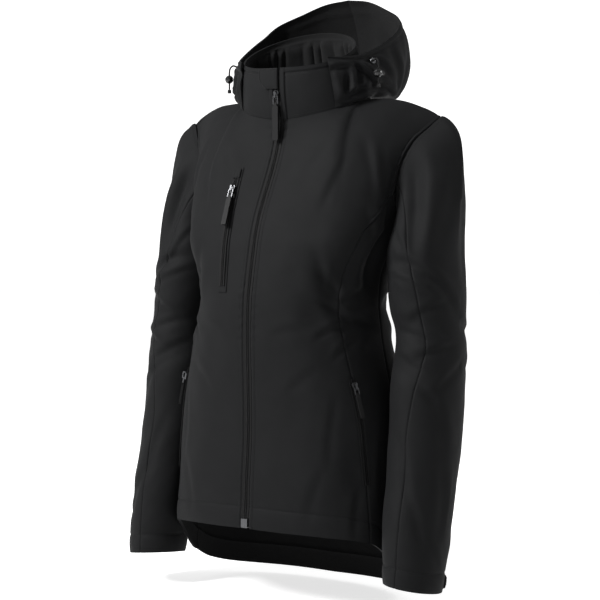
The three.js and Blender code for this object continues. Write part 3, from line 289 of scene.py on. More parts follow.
def body_half_at(y, z):
    """The half width of the body at a depth and height."""
    middle = read(TORSO, "z", z, "side")
    end = np.where(y < middle, read(TORSO, "z", z, "front"), read(TORSO, "z", z, "back"))
    share = np.minimum(np.abs(y - middle) / np.abs(end - middle), 1)
    return read(TORSO, "z", z, "half") * (1 - share ** ROUNDNESS) ** (1 / ROUNDNESS)


def loop_point(loop, side, deg):
    """A loop round the neck: an oval that rises from the front to the back."""
    deg = np.radians(deg)
    turn = (1 - np.cos(deg)) / 2
    return point(side * loop["half"] * np.sin(deg), loop["mid"] - loop["reach"] * np.cos(deg),
                 loop["front"] + loop["rise"] * np.maximum(turn, 0) ** loop["bend"])


def curve_through(rows, divisions=200):
    """A function for the point at a share of the length of a smooth curve through rows of points, whose
    bends spread by the square root of the gaps between the points."""
    p = np.array(rows, float)
    p = np.vstack([2 * p[0] - p[1], p, 2 * p[-1] - p[-2]])
    gap = np.linalg.norm(np.diff(p, axis=0), axis=1)[:, None] ** 0.5
    rise = np.diff(p, axis=0) / gap
    chord = (p[2:] - p[:-2]) / (gap[:-1] + gap[1:])
    slope = rise[:-1] - chord + rise[1:]

    def at(t):
        place = np.clip(t, 0, 1) * (len(rows) - 1)
        i = np.minimum(place.astype(int), len(rows) - 2)
        w = place - i
        step = gap[i + 1]
        return hermite(p[i + 1], slope[i] * step, p[i + 2], slope[i + 1] * step, w)

    ts = np.linspace(0, 1, divisions + 1)
    run = np.concatenate([[0], np.cumsum(np.linalg.norm(np.diff(at(ts), axis=0), axis=1))])
    return lambda share: at(np.interp(np.asarray(share, float) * run[-1], run, ts))


ARMHOLE = {"front": curve_through(ARMHOLE_FRONT), "back": curve_through(ARMHOLE_BACK)}


def yoke_point(side, part, q, v):
    """The body above the underarm: columns that leave the rings upwards and lean over into the neck or
    shoulder seam, drawn sideways towards the armhole by the cube of their share."""
    q, v = np.broadcast_arrays(np.asarray(q, float), np.asarray(v, float))
    way = 1 if part == "front" else -1

    def column(share, t):
        angle = 90 * share if part == "front" else 180 - 90 * share
        start = ring_point(1, angle, np.full_like(share, UNDERARM))
        below = ring_point(1, angle, np.full_like(share, UNDERARM - 12))
        neck_deg = 90 * share / NECK_SHARE
        on_neck = loop_point(NECK, 1, np.where(way > 0, neck_deg, 180 - neck_deg))
        out = (share - NECK_SHARE) / (1 - NECK_SHARE)
        tip = np.array(ARMHOLE_FRONT[-1], float)
        on_shoulder = loop_point(NECK, 1, 90.0) * (1 - out[..., None]) + tip * out[..., None]
        on_shoulder[..., 2] += SHOULDER_ARCH * np.sin(np.pi * out)
        end = np.where((share < NECK_SHARE)[..., None], on_neck, on_shoulder)
        length = np.linalg.norm(end - start, axis=-1, keepdims=True)
        over = smooth(share, 0, NECK_SHARE)
        if way > 0:
            lean = point(0, 0.78 * over, 1 - 0.8 * over)
        else:
            lean = point(0, -0.45 - 0.35 * over, 0.9 - 0.74 * over)
        return hermite(start, unit(start - below) * length, end, lean * length, t)

    drawn = ARMHOLE[part](np.clip(v, 0, 1)) - column(np.ones_like(v), v)
    p = column(q, v) + drawn * np.clip(q, 0, 1)[..., None] ** 3
    return point(side * p[..., 0], p[..., 1], p[..., 2])


def yoke_normal(side, part, q, v):
    """The normal of the body above the underarm."""
    sign = side if part == "front" else -side
    at = np.broadcast_arrays(np.clip(q, 0.004, 0.996), np.clip(v, 0.004, 0.996))
    return normal_of(lambda a, b: yoke_point(side, part, a, b), *at, 0.004, 0.004, sign)


# Fullness and folds of the body: degrees from centre front, height, spread both ways in degrees and
# millimetres, how high they stand and how much they lean.
BODY_FOLDS = [
    (44, -205, 17, 42, 8, 0), (79, -226, 7.5, 44, -8, 0), (50, -292, 14, 36, -5, 0.1),
    (74, -318, 11, 12, -3, 0.5), (72, -350, 12, 13, 2.5, 0.5), (30, -520, 12, 60, 2.5, 0),
    (56, -545, 8, 50, -3, 0),
    (112, -300, 16, 12, -3.5, -0.4), (122, -334, 18, 13, 3, -0.4), (150, -300, 14, 13, -3, 0.3),
    (138, -560, 9, 70, 3.5, 0), (160, -560, 9, 70, -3, 0),
]


def fold_rise(folds, around, along):
    """How far a table of folds lifts the cloth: the sum of leaning bells."""
    rise = 0
    for at, height, spread, length, lift, lean in folds:
        down = (along - height) / length
        rise = rise + lift * bell((around - at - lean * down * spread) / spread) * bell(down)
    return rise


def crease_rise(creases, around, along):
    """Finer creases: each a soft trough with a ridge beside it, along a slanting line of a given length.
    Its row is place, height, slant in degrees, length, width and depth, all in millimetres."""
    rise = 0
    for at, height, slant, length, width, depth in creases:
        c, s = math.cos(math.radians(slant)), math.sin(math.radians(slant))
        u = (around - at) * c + (along - height) * s
        w = -(around - at) * s + (along - height) * c
        w = w + 0.18 * length * ((u / length) ** 2)
        ends = bell((u / (0.55 * length)) ** 2)
        rise = rise + depth * ends * (0.62 * bell((w - 1.5 * width) / (1.1 * width)) - bell(w / width))
    return rise


def ripple(a, b, size):
    """Slow uneven waves of about a given size, from sines at odd angles."""
    total = 0
    waves = ((0.3, 1.0, 0.4), (1.4, 0.71, 2.1), (2.3, 1.37, 4.2), (2.9, 1.93, 1.3), (0.9, 2.6, 5.1))
    for turn, stretch, phase in waves:
        place = a * math.cos(turn) + b * math.sin(turn)
        total = total + np.sin(2 * np.pi * place * stretch / size + phase) / stretch
    return total / 2.2


MM_PER_DEGREE = 3.0
BODY_CREASES = [
    (150, -262, -28, 60, 6, 2.0), (166, -300, -20, 70, 6, 2.4), (152, -330, 14, 64, 6, 2.0),
    (182, -352, 24, 60, 6, 2.0), (120, -240, -52, 60, 8, 1.4), (206, -280, 18, 52, 6, 1.8),
    (232, -318, -14, 60, 6, 1.8), (330, -286, 10, 78, 7, 2.0), (392, -318, -12, 80, 7, 2.1),
    (440, -352, 8, 80, 7, 1.8), (128, -470, 78, 90, 9, 1.3), (230, -520, 82, 96, 9, 1.6),
    (330, -580, 84, 100, 10, 1.5), (470, -560, 86, 110, 10, 1.6), (190, -180, -60, 46, 6, 1.4),
    (214, -150, -66, 50, 6, 1.3), (60, -90, 58, 60, 9, 1.0), (104, -120, 66, 70, 9, 1.2),
    (70, -330, 4, 54, 7, 1.0), (84, -400, 30, 60, 8, 1.0), (250, -130, 72, 60, 7, 1.3),
    (128, -285, -51, 150, 17, -2.6), (205, -120, -72, 90, 11, -1.8), (176, -98, -64, 80, 11, 1.5),
    (300, -420, 60, 90, 10, 1.4), (380, -440, -64, 90, 10, 1.4), (500, -300, 6, 80, 8, 1.6),
    (243, -222, 88, 110, 22, 7.0), (96, -560, 70, 70, 9, 1.1), (170, -585, 80, 60, 8, 1.2),
    (420, -660, 84, 60, 9, 1.4),
]


def body_rise(side, deg, z):
    """How the body's cloth stands off its plain form: its folds, finer creases, the padding of the hem
    band with the groove of its seam, and slow unevenness."""
    over = z - read(HEM, "deg", deg, "z")
    band = 1.1 * np.sin(np.pi * np.clip(over, 0, HEM_BAND) / HEM_BAND) - 0.9 * bell((over - HEM_BAND) / 1.4)
    place = deg * MM_PER_DEGREE
    uneven = 0.5 * ripple(place * side + 40, z, 92) * smooth(over, HEM_BAND, HEM_BAND + 25)
    return fold_rise(BODY_FOLDS, deg, z) + crease_rise(BODY_CREASES, place + 3 * side, z) + band + uneven


# How far the stitch lines lie from the zip's edge and from the other seams.
BESIDE_ZIP = 5.8
BESIDE_SEAM_STITCH = 5.2


def seam_relief(distance, along, phase, stitch=BESIDE_SEAM_STITCH, held=1.0):
    """The cloth beside a seam: it rolls down into the seam and, where the allowance is held by stitches,
    stands a little over it, dips under the stitches and puckers between them."""
    pucker = np.sin(2 * np.pi * (along + 3 * np.sin(along / 31 + phase)) / 13.5 + phase)
    pucker = pucker * (0.6 + 0.4 * np.sin(along / 47 + 2 * phase))
    fade = bell((distance - stitch * 0.8) / (stitch * 1.1))
    return (-0.9 * bell(distance / 1.1) + held * (0.45 * bell((distance - stitch * 0.5) / (stitch * 0.42))
            - 0.35 * bell((distance - stitch) / 0.8) + 0.3 * pucker * fade) + 0.12 * pucker * fade)


BESIDE_SEAM = np.array([0, 0.9, 2, 3.4, 5, 6.5, 8, 10.5, 14])
FINE = 1.0


def across(plain_at, rows, inner):
    """Shares across a panel, row by row: close together beside both edges, with a number of even steps
    between. plain_at gives the panel's points for shares at each row."""
    coarse = np.linspace(0, 1, 49)
    p = plain_at(np.tile(coarse, (rows, 1)))
    run = np.concatenate([np.zeros((rows, 1)), np.cumsum(np.linalg.norm(np.diff(p, axis=1), axis=-1), 1)], 1)
    width = run[:, -1:]
    near = BESIDE_SEAM * np.minimum(1, width / (2.6 * BESIDE_SEAM[-1]))
    middle = near[:, -1:] + (width - 2 * near[:, -1:]) * (np.arange(1, inner) / inner)
    places = np.concatenate([near, middle, (width - near)[:, ::-1]], 1)
    shares = np.stack([np.interp(places[r], run[r], coarse) for r in range(rows)])
    return shares, places, width - places


def shell(name, outer, inner, uv, node, body="jacket"):
    """A closed sheet of cloth from its outer and inner points on one grid, put into a mesh in metres with
    a map of the cloth's own places, and shown in place of its solid."""
    rows, columns = outer.shape[:2]
    index = np.arange(rows * columns).reshape(rows, columns)
    front = np.stack([index[:-1, :-1], index[:-1, 1:], index[1:, 1:], index[1:, :-1]], -1).reshape(-1, 4)
    back = front[:, ::-1] + rows * columns
    loop = np.concatenate([index[0], index[1:, -1], index[-1, -2::-1], index[-2:0:-1, 0]])
    after = np.roll(loop, -1)
    rim = np.stack([after, loop, loop + rows * columns, after + rows * columns], -1)
    faces = np.concatenate([front, back, rim])
    r, c = rows // 2, columns // 2
    corner = outer[r, c]
    if np.cross(outer[r, c + 1] - corner, outer[r + 1, c] - corner) @ (corner - inner[r, c]) < 0:
        faces = faces[:, ::-1]
    points = np.concatenate([outer.reshape(-1, 3), inner.reshape(-1, 3)]) * MM
    mesh = bpy.data.meshes.new(name)
    mesh.vertices.add(len(points))
    mesh.vertices.foreach_set("co", points.astype(np.float32).ravel())
    mesh.loops.add(faces.size)
    mesh.loops.foreach_set("vertex_index", faces.astype(np.int32).ravel())
    mesh.polygons.add(len(faces))
    mesh.polygons.foreach_set("loop_start", np.arange(0, faces.size, 4, dtype=np.int32))
    mesh.polygons.foreach_set("loop_total", np.full(len(faces), 4, np.int32))
    mesh.update(calc_edges=True)
    mesh.validate()
    places = np.concatenate([uv.reshape(-1, 2), uv.reshape(-1, 2)]) * MM
    layer = mesh.uv_layers.new(name="cloth")
    layer.data.foreach_set("uv", places[faces.ravel()].astype(np.float32).ravel())
    mesh.polygons.foreach_set("use_smooth", np.ones(len(faces), bool))
    inside = (np.arange(len(faces)) >= len(front)) & (np.arange(len(faces)) < 2 * len(front))
    mesh.polygons.foreach_set("material_index", inside.astype(np.int32))
    mesh.set_sharp_from_angle(angle=math.radians(58))
    for side_material in (SOFTSHELL, FLEECE):
        mesh.materials.append(side_material)
    piece = bpy.data.objects.new(name, mesh)
    bpy.context.scene.collection.objects.link(piece)
    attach(piece, body)
    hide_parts(node)
    return piece


# The sleeves' form
# Two-piece sleeves: an oval tube down to the cuff, and above the underarm a head that leaves the armhole
# seam and turns into the tube. It keeps clear of the body beside it.
SLEEVE = dict(
    z=[-687, -658, -632, -590, -540, -450, -410, -376, -350, -328, -303, -268, -232],
    x=[223.5, 223.5, 222.5, 221.5, 219.5, 216.5, 216, 216.5, 217, 214.5, 210, 206, 202],
    y=[-38, -34, -29, -20, -5, 14, 19, 23, 26, 27, 30, 33, 36],
    across=[40, 42, 44, 46.5, 48.5, 50.5, 50.5, 49.5, 48, 48, 51, 52.5, 52.5],
    deep=[46, 49, 52, 55, 57, 61, 62, 59, 57, 58, 63, 66, 67],
    slant=[0.11, 0.1, 0.09, 0.07, 0.04, 0.02, 0.01, 0, 0, 0, 0, 0, 0],
    tilt=[0.13, 0.13, 0.12, 0.11, 0.08, 0.04, 0.01, 0, 0, 0, 0, 0, 0],
)
SLEEVE_TOP = -232
CUFF = -687
CUFF_BAND = 27


def section_point(turn, z):
    """A point round the sleeve: an oval, slanted at the cuff, that bends softly away from the body."""
    outward, forward = np.cos(2 * np.pi * turn), np.sin(2 * np.pi * turn)
    wide = read(SLEEVE, "z", z, "across")
    x = read(SLEEVE, "z", z, "x") + wide * outward
    y = read(SLEEVE, "z", z, "y") - read(SLEEVE, "z", z, "deep") * forward
    height = z - read(SLEEVE, "z", z, "slant") * wide * outward - read(SLEEVE, "z", z, "tilt") * (
        y - read(SLEEVE, "z", z, "y"))
    limit = body_half_at(y, height) + 3.5
    beyond = np.minimum((x - limit) / 2.5, 20)
    return point(np.where(beyond < 20, limit + 2.5 * np.log1p(np.exp(beyond)), x), y, height)


def sleeve_point(side, turn, down):
    """The sleeve on one side: turns round the arm from the top over the front, and down from 0 at the
    armhole over 1 below the underarm, with a tenth of a metre for each 1 after that."""
    turn, down = np.broadcast_arrays(np.asarray(turn, float), np.asarray(down, float))
    turn = turn - np.floor(turn)
    tube = section_point(turn, np.minimum(SLEEVE_TOP, SLEEVE_TOP - (down - 1) * 100))
    v = np.abs(2 * turn - 1)
    start = np.where((turn < 0.5)[..., None], ARMHOLE["front"](v), ARMHOLE["back"](v))
    outward, forward = np.cos(2 * np.pi * turn), np.sin(2 * np.pi * turn)
    back = np.where(forward > 0, -0.1 * forward, -0.3 * forward)
    direction = unit(point(0.61 + 0.36 * outward, back, -0.665 + 0.305 * outward))
    start = start + direction * SEAM_GAP + point(0.9 * np.maximum(-outward, 0), 0, 0)
    end = section_point(turn, np.full_like(turn, SLEEVE_TOP))
    length = np.linalg.norm(end - start, axis=-1, keepdims=True) * 0.9
    below = unit(section_point(turn, np.full_like(turn, SLEEVE_TOP - 8)) - end) * length
    head = hermite(start, direction * length, end, below, np.clip(down, 0, 1))
    limit = body_half_at(head[..., 1], head[..., 2]) + 2
    head[..., 0] = np.where(head[..., 2] < UNDERARM - 4, np.maximum(head[..., 0], limit), head[..., 0])
    p = np.where((down >= 1)[..., None], tube, head)
    return point(side * p[..., 0], p[..., 1], p[..., 2])


def sleeve_normal(side, turn, down):
    at = np.broadcast_arrays(np.asarray(turn, float), np.maximum(down, 0.01))
    return normal_of(lambda a, b: sleeve_point(side, a, b), *at, 0.004, 0.01, side)


# The fronts
# Each front runs from the zip to the princess seam and from the hem to the shoulder. Its edge at the zip
# is turned under and stitched, and the princess seam's allowance is stitched down on the front.
ZIP_EDGE = 13 / 2 + SEAM_GAP


def share_at(reach, x):
    """The share at which a rising row of points reaches a breadth, by bisection for whole arrays."""
    low, high = np.zeros_like(x), np.ones_like(x)
    for _ in range(26):
        middle = (low + high) / 2
        under = reach(middle) < x
        low, high = np.where(under, middle, low), np.where(under, high, middle)
    return (low + high) / 2


def zip_edge_deg(z):
    return 90 * share_at(lambda s: ring_point(1, 90 * s, z)[..., 0], np.full_like(z, ZIP_EDGE))


def princess_deg(z, way):
    return read(PRINCESS, "z", z, "deg") + way * 0.05


def armhole_edge_normal(side, turn):
    """The shared slope at the armhole seam, halfway between the body's and the sleeve's."""
    v = np.abs(2 * turn - 1)
    near = np.clip(v, 0.02, 0.98)
    ahead, behind = (yoke_normal(side, part, np.full_like(v, 0.985), near) for part in ("front", "back"))
    meets = ((v > 0.999) | (v < 0.001))[..., None]
    body = np.where(meets, unit(ahead + behind), np.where((turn < 0.5)[..., None], ahead, behind))
    return unit(body + sleeve_normal(side, np.where(v > 0.999, 0, turn), np.full_like(v, 0.04)))


# What each piece of cloth is remembered by: its object, and on its grid the outer points and normals
# and the distances or places that the stitches follow.
CLOTH_PIECES = {}


ARMHOLE_HELD = 3.0
SHOULDER_DROP = 1.8


def body_panel(name, side, part, angle, share, columns, top=1.0):
    """One panel of the body. Its lower block runs from the hem to the underarm and its upper block from
    there to a rise of top. angle gives the degrees for a share across and a height, and share gives the
    place across the yoke for a share across and a rise; side is 1, -1 or a function of the share."""
    side_of = side if callable(side) else (lambda s: np.full_like(s, side))
    inner = int(columns / FINE)
    over = np.concatenate([[0, 0.8, 2, 4, 8, 13, 18, 23, 27, 29.4, 31, 32.6, 35],
                           np.linspace(35, 520, int(485 / (3.6 * FINE)))[1:]])[:, None]

    def lower(shares):
        hem = read(HEM, "deg", angle(shares, np.full_like(shares, -600)), "z")
        z = np.where(over <= 35, hem + over, hem + 35 + (UNDERARM - hem - 35) * (over - 35) / 485)
        return side_of(shares), angle(shares, z), z

    shares, left, right = across(lambda s: ring_point(*lower(s)), len(over), inner)
    sides, deg, z = lower(shares)
    plain = ring_point(sides, deg, z)
    n = normal_of(lambda a, b: ring_point(sides, a, b), deg, z, 0.4, 2, sides)
    above_hem = z - read(HEM, "deg", deg, "z")
    thick = HEM_CLOTH + (CLOTH - HEM_CLOTH) * smooth(above_hem, HEM_BAND - 1, HEM_BAND + 4)

    v = np.linspace(0, top, int(230 * top / (3.6 * FINE)) + 1)[1:, None]
    shares_up, left_up, right_up = across(
        lambda s: yoke_point(side_of(s), part, share(s, v + 0 * s), v), len(v), inner)
    rise_up = v + 0 * shares_up
    q, sides_up = share(shares_up, rise_up), side_of(shares_up)
    plain_up = yoke_point(sides_up, part, q, rise_up)
    n_up = yoke_normal(sides_up, part, q, rise_up)
    turn = (1 - rise_up) / 2 if part == "front" else (1 + rise_up) / 2
    beside = bell(np.where(q > 0.6, (1 - q) * 190, 99) / 9)[..., None]
    n_up = unit(n_up * (1 - beside) + armhole_edge_normal(sides_up, turn) * beside)

    both = lambda low, high: np.concatenate([low, high])
    plain, n = both(plain, plain_up), both(n, n_up)
    deg, z = both(deg, 90 * q if part == "front" else 180 - 90 * q), both(z, plain_up[..., 2])
    left, right, sides = both(left, left_up), both(right, right_up), both(sides, sides_up)
    thick = both(thick, np.full_like(q, CLOTH))
    above_hem = both(above_hem, np.full_like(q, 999))
    at_zip = seam_relief(left, z, 1.0, BESIDE_ZIP, 1.0 if name.startswith("front_") else 0.0)
    by_armhole = smooth(z, UNDERARM - 10, UNDERARM + 40) * (1 - 0.7 * smooth(z, -60, -30))
    relief = at_zip + seam_relief(right, z, 2.4, held=ARMHOLE_HELD * by_armhole)
    tips = bell(right / 16) + (bell(left / 16) if name == "back" else 0)
    relief = relief - SHOULDER_DROP * tips * smooth(z, -75, -40)
    outer = plain + n * (body_rise(sides, deg, z) + relief)[..., None]
    inner_points = outer - n * thick[..., None]
    piece = shell(f"cloth_{name}", outer, inner_points, np.stack([left, z], -1), name)
    CLOTH_PIECES[name] = dict(piece=piece, p=outer, n=n, left=left, right=right, z=z, over=above_hem)


def princess_q(v, way):
    """Where the princess seam crosses the yoke, until it runs out into the armhole."""
    return np.minimum(read(PRINCESS_TOP, "v", v, "q"), 1) + way * 0.0014 * (v < 0.31)


def blend_of(low, high):
    """A place across a panel, from functions for its two edges."""
    return lambda share, along: low(along) * (1 - share) + high(along) * share


def zip_q(v):
    return share_at(lambda q: yoke_point(1, "front", q, v)[..., 0], np.full_like(v, ZIP_EDGE))


for hand, side in (("left", 1), ("right", -1)):
    body_panel(f"front_{hand}", side, "front", blend_of(zip_edge_deg, lambda z: princess_deg(z, -1)),
               blend_of(zip_q, lambda v: np.minimum(princess_q(v, -1), 1)), 48)

# The side fronts
# Narrow panels between the princess seams and the side seams. Each ends in a point where the princess
# seam runs into the armhole.
for hand, side in (("left", 1), ("right", -1)):
    body_panel(f"side_front_{hand}", side, "front",
               blend_of(lambda z: princess_deg(z, 1), lambda z: 89.95 + 0 * z),
               blend_of(lambda v: princess_q(v, 1), lambda v: 1 + 0 * v), 24, top=0.3)

# The back
# One piece from side seam to side seam, with the dropped tail.
body_panel("back", lambda s: np.where(s < 0.5, -1.0, 1.0), "back",
           lambda s, z: 180 - np.abs(2 * s - 1) * 89.95, lambda s, v: np.abs(2 * s - 1), 120)

# The sleeves
# Each is cut in an upper and an under piece. Folds are told by turns round the arm from the top over the
# front, height, spread both ways, how high they stand and how much they lean.
SLEEVE_SEAMS = dict(
    z=[-690, -540, -480, -415, -360, -330, -232, -190],
    front=[0.26, 0.24, 0.243, 0.218, 0.185, 0.185, 0.226, 0.3125],
    rear=[0.7, 0.71, 0.71, 0.71, 0.71, 0.71, 0.7, 0.6875],
)
SLEEVE_FOLDS = [
    (0.215, -140, 0.036, 62, -8, 0), (0.15, -150, 0.03, 70, 3.5, 0), (0.27, -235, 0.07, 13, -4.5, 0.5),
    (0.23, -262, 0.08, 14, 3, 0.5), (0.26, -322, 0.09, 13, -4, -0.3), (0.2, -352, 0.1, 13, 3, -0.3),
    (0.3, -382, 0.08, 14, -3, 0.4), (0.8, -330, 0.07, 18, 3, 0.3), (0.72, -362, 0.08, 16, -3, 0.3),
    (0.85, -215, 0.05, 70, -3, 0), (0.62, -290, 0.1, 32, 5, 0), (0.12, -600, 0.07, 20, -3, 0.4),
    (0.9, -622, 0.06, 22, 2.5, -0.3),
]
MM_PER_TURN = 340
SLEEVE_CREASES = [
    (62, -150, 93, 130, 12, 2.8), (18, -130, 96, 110, 12, 2.0), (60, -246, 34, 62, 6, 2.3),
    (84, -262, 22, 66, 6, 2.4), (58, -300, -24, 60, 6, 2.0), (30, -278, 52, 60, 7, 1.8),
    (80, -336, 14, 70, 6, 2.5), (50, -356, -16, 58, 6, 2.2), (92, -374, 26, 62, 6, 2.0),
    (66, -408, 40, 60, 7, 1.8), (24, -392, -40, 60, 7, 1.6), (96, -210, 56, 50, 6, 1.8),
    (40, -452, 70, 80, 9, 1.5), (88, -520, 76, 90, 9, 1.5), (60, -590, 66, 70, 8, 1.6),
    (20, -560, 82, 90, 9, 1.5), (30, -630, 40, 50, 7, 1.4), (330, -200, 84, 120, 11, 2.0),
    (250, -246, 30, 60, 6, 2.0), (276, -320, -20, 66, 6, 2.3), (250, -352, 18, 60, 6, 2.0),
    (296, -372, -28, 56, 6, 2.0), (320, -330, 24, 60, 7, 1.9), (286, -470, 80, 90, 9, 1.4),
    (262, -600, 70, 70, 8, 1.4), (310, -560, 84, 90, 9, 1.4),
]


def sleeve_rise(side, turn, z):
    """How a sleeve's cloth stands off its plain form."""
    over = z - CUFF
    band = 1.1 * np.sin(np.pi * np.clip(over, 0, CUFF_BAND) / CUFF_BAND) - 0.9 * bell((over - CUFF_BAND) / 1.4)
    turn = turn - np.floor(turn)
    place = turn * MM_PER_TURN
    uneven = 0.45 * ripple(np.sin(2 * np.pi * turn) * 54 + 31 * side, z + 54 * np.cos(2 * np.pi * turn), 74)
    return (fold_rise(SLEEVE_FOLDS, turn, z) + crease_rise(SLEEVE_CREASES, place + 4 * side, z) + band
            + uneven * smooth(over, CUFF_BAND, CUFF_BAND + 20))


HEAD_LONG = 140
HEAD_FULLNESS = 2.6


def sleeve_panel(name, side, upper):
    """One of a sleeve's two pieces, between its seams, from the armhole to the cuff."""
    head = np.linspace(0, 1, int(150 / (3.4 * FINE)) + 1)[:-1]
    arm = np.linspace(SLEEVE_TOP, CUFF + 34, int(416 / (3.6 * FINE)))
    cuff = CUFF + np.array([32, 29.4, 27, 25.4, 22, 18, 13, 8, 4, 2, 0.8, 0])
    down = np.concatenate([head, 1 + (SLEEVE_TOP - np.concatenate([arm, cuff])) / 100])[:, None]
    z = np.where(down >= 1, SLEEVE_TOP - (down - 1) * 100, UNDERARM + (SLEEVE_TOP - UNDERARM) * down)
    front, rear = (read(SLEEVE_SEAMS, "z", z, edge) for edge in ("front", "rear"))
    low, high = (rear - 1 + 0.00045, front - 0.00045) if upper else (front + 0.00045, rear - 0.00045)
    turn_of = lambda s: low * (1 - s) + high * s
    shares, left, right = across(lambda s: sleeve_point(side, turn_of(s), down), len(down),
                                 int((48 if upper else 40) / FINE))
    turn, down = np.broadcast_arrays(turn_of(shares), down)
    plain, n = sleeve_point(side, turn, down), sleeve_normal(side, turn, down)
    from_armhole = down * HEAD_LONG
    armhole = bell(from_armhole / 9)[..., None]
    shared = armhole_edge_normal(np.full_like(turn, side), turn - np.floor(turn))
    n = unit(n * (1 - armhole) + shared * armhole)
    height = np.where(down > 1, SLEEVE_TOP - (down - 1) * 100, plain[..., 2])
    rise = sleeve_rise(side, turn, height) * smooth(down, 0, 0.3)
    rise = rise + seam_relief(left, height, 0.7, held=0.0) + seam_relief(right, height, 3.1, held=0.0)
    top = bell((turn - np.round(turn)) / 0.17)
    stitch = seam_relief(from_armhole, turn * MM_PER_TURN, 1.7)
    fullness = HEAD_FULLNESS * top * bell((from_armhole - 22) / 19) * smooth(from_armhole, 0, 8)
    rise = rise + stitch * (1 - 0.5 * top) + fullness
    thick = HEM_CLOTH + (CLOTH - HEM_CLOTH) * smooth(height, CUFF + CUFF_BAND - 1, CUFF + CUFF_BAND + 4)
    outer = plain + n * rise[..., None]
    piece = shell(f"cloth_{name}", outer, outer - n * thick[..., None], np.stack([left, height], -1), name)
    run = np.cumsum(np.linalg.norm(np.diff(outer, axis=0, prepend=outer[:1]), axis=-1), 0)
    CLOTH_PIECES[name] = dict(piece=piece, p=outer, n=n, left=left, over=height - CUFF, down=run)


for hand, side in (("left", 1), ("right", -1)):
    sleeve_panel(f"sleeve_upper_{hand}", side, True)
    sleeve_panel(f"sleeve_under_{hand}", side, False)

# The collar
# A stand-up collar of two layers. Its edge is rolled and topstitched, and the lining is gathered on an
# elastic round the back of the neck.
COLLAR_TOP = dict(half=88, mid=17, reach=61, front=43, rise=59, bend=1.3)
GATHERS = dict(start=104, end=256, count=12.15, depth=5.0)
COLLAR_HIGH = 78
ROLL = 1.3


def collar_point(deg, up):
    """The collar between its loop at the seam and its loop at the top, bulging a little."""
    deg, up = np.broadcast_arrays(np.asarray(deg, float), np.asarray(up, float))
    rise = up[..., None]
    p = loop_point(NECK, 1, deg) * (1 - rise) + loop_point(COLLAR_TOP, 1, deg) * rise
    out = point(np.sin(np.radians(deg)), -np.cos(np.radians(deg)), 0)
    return p + out * 2.5 * np.sin(np.pi * rise) + point(0, 0, 0.39 * (1 - up))


def collar_normal(deg, up):
    return normal_of(collar_point, deg, np.clip(up, 0.01, 0.99), 0.5, 0.01, 1)


def collar_deg(x, up):
    """The angle at which the collar reaches a breadth from the centre."""
    return 80 * share_at(lambda s: collar_point(80 * s, up)[..., 0], x + 0 * up)


def collar_rows():
    border = [0.885, 0.9, 0.915, 0.93, 0.95, 0.965, 0.98, 0.992, 1]
    up = np.concatenate([np.linspace(0, 0.87, int(20 / FINE)), border])[:, None]
    edge = np.array([0, 0.8, 2, 3.5, 5, 6, 6.6, 7.2, 9, 12])[None] + ZIP_EDGE
    ahead = collar_deg(edge, up)
    round_it = np.linspace(0, 1, int(260 / FINE))[None, 1:-1]
    rest = ahead[:, -1:] * (1 - round_it) + (360 - ahead[:, -1:]) * round_it
    deg = np.concatenate([ahead, rest, 360 - ahead[:, ::-1]], 1)
    return deg, up + 0 * deg


deg, up = collar_rows()
plain, n = collar_point(deg, up), collar_normal(deg, up)
beside_zip = np.where((deg < 60) | (deg > 300), np.abs(plain[..., 0]) - ZIP_EDGE, 99)
roll = ROLL * np.maximum(1 - smooth(beside_zip, 5.8, 7), smooth(up, 0.895, 0.93))
groove = 0.5 * bell((beside_zip - 7.4) / 0.9) + 0.5 * bell((up - 0.888) * COLLAR_HIGH) * (beside_zip > 6)
wave = np.clip((deg - GATHERS["start"]) / (GATHERS["end"] - GATHERS["start"]), 0, 1)
place = wave * GATHERS["count"] + 0.3 * np.sin(wave * 23)
puff = np.abs(np.sin(np.pi * place)) ** 0.45 * (wave > 0) * (wave < 1)
reach = smooth(up, 0.05, 0.35 + 0.12 * np.sin(place * 2.1))
reach = reach * (1 - smooth(up, 0.78 + 0.05 * np.sin(place * 3.7), 0.9))
gather = GATHERS["depth"] * puff * reach
uneven = 0.35 * ripple(deg * 1.6, up * COLLAR_HIGH, 60) * smooth(beside_zip, 4, 16) * (up < 0.9)
outer = plain + n * (roll - groove + uneven)[..., None]
inner = outer - n * (CLOTH + gather)[..., None]
collar = shell("cloth_collar", outer, inner, np.stack([deg * 1.6, up * COLLAR_HIGH], -1), "collar")
CLOTH_PIECES["collar"] = dict(piece=collar, p=outer, n=n, up=up, beside=beside_zip)

# The hood
# Cut in two halves with a seam over the crown, worn down. It hangs from the neck seam outside the collar,
# bulges behind it and folds at its front edges, where the cords pull it in.
HOOD_RIM = dict(
    deg=[52, 64, 78, 92, 110, 130, 144, 158, 170, 180],
    x=[74, 90, 104, 113, 118, 117, 106, 75, 38, 0],
    y=[-25, -8, 14, 38, 69, 103, 124, 140, 151, 155],
    z=[57, 57, 61, 70, 85, 104, 122, 138, 153, 158],
)
HOOD_SWELL = dict(
    deg=[52, 78, 110, 135, 180],
    low_out=[2, 14, 43, 73, 100],
    low_up=[0, -6, -26, -58, -72],
    high_out=[2, 12, 20, 31, 68],
    high_down=[0, 20, 30, 44, 66],
)
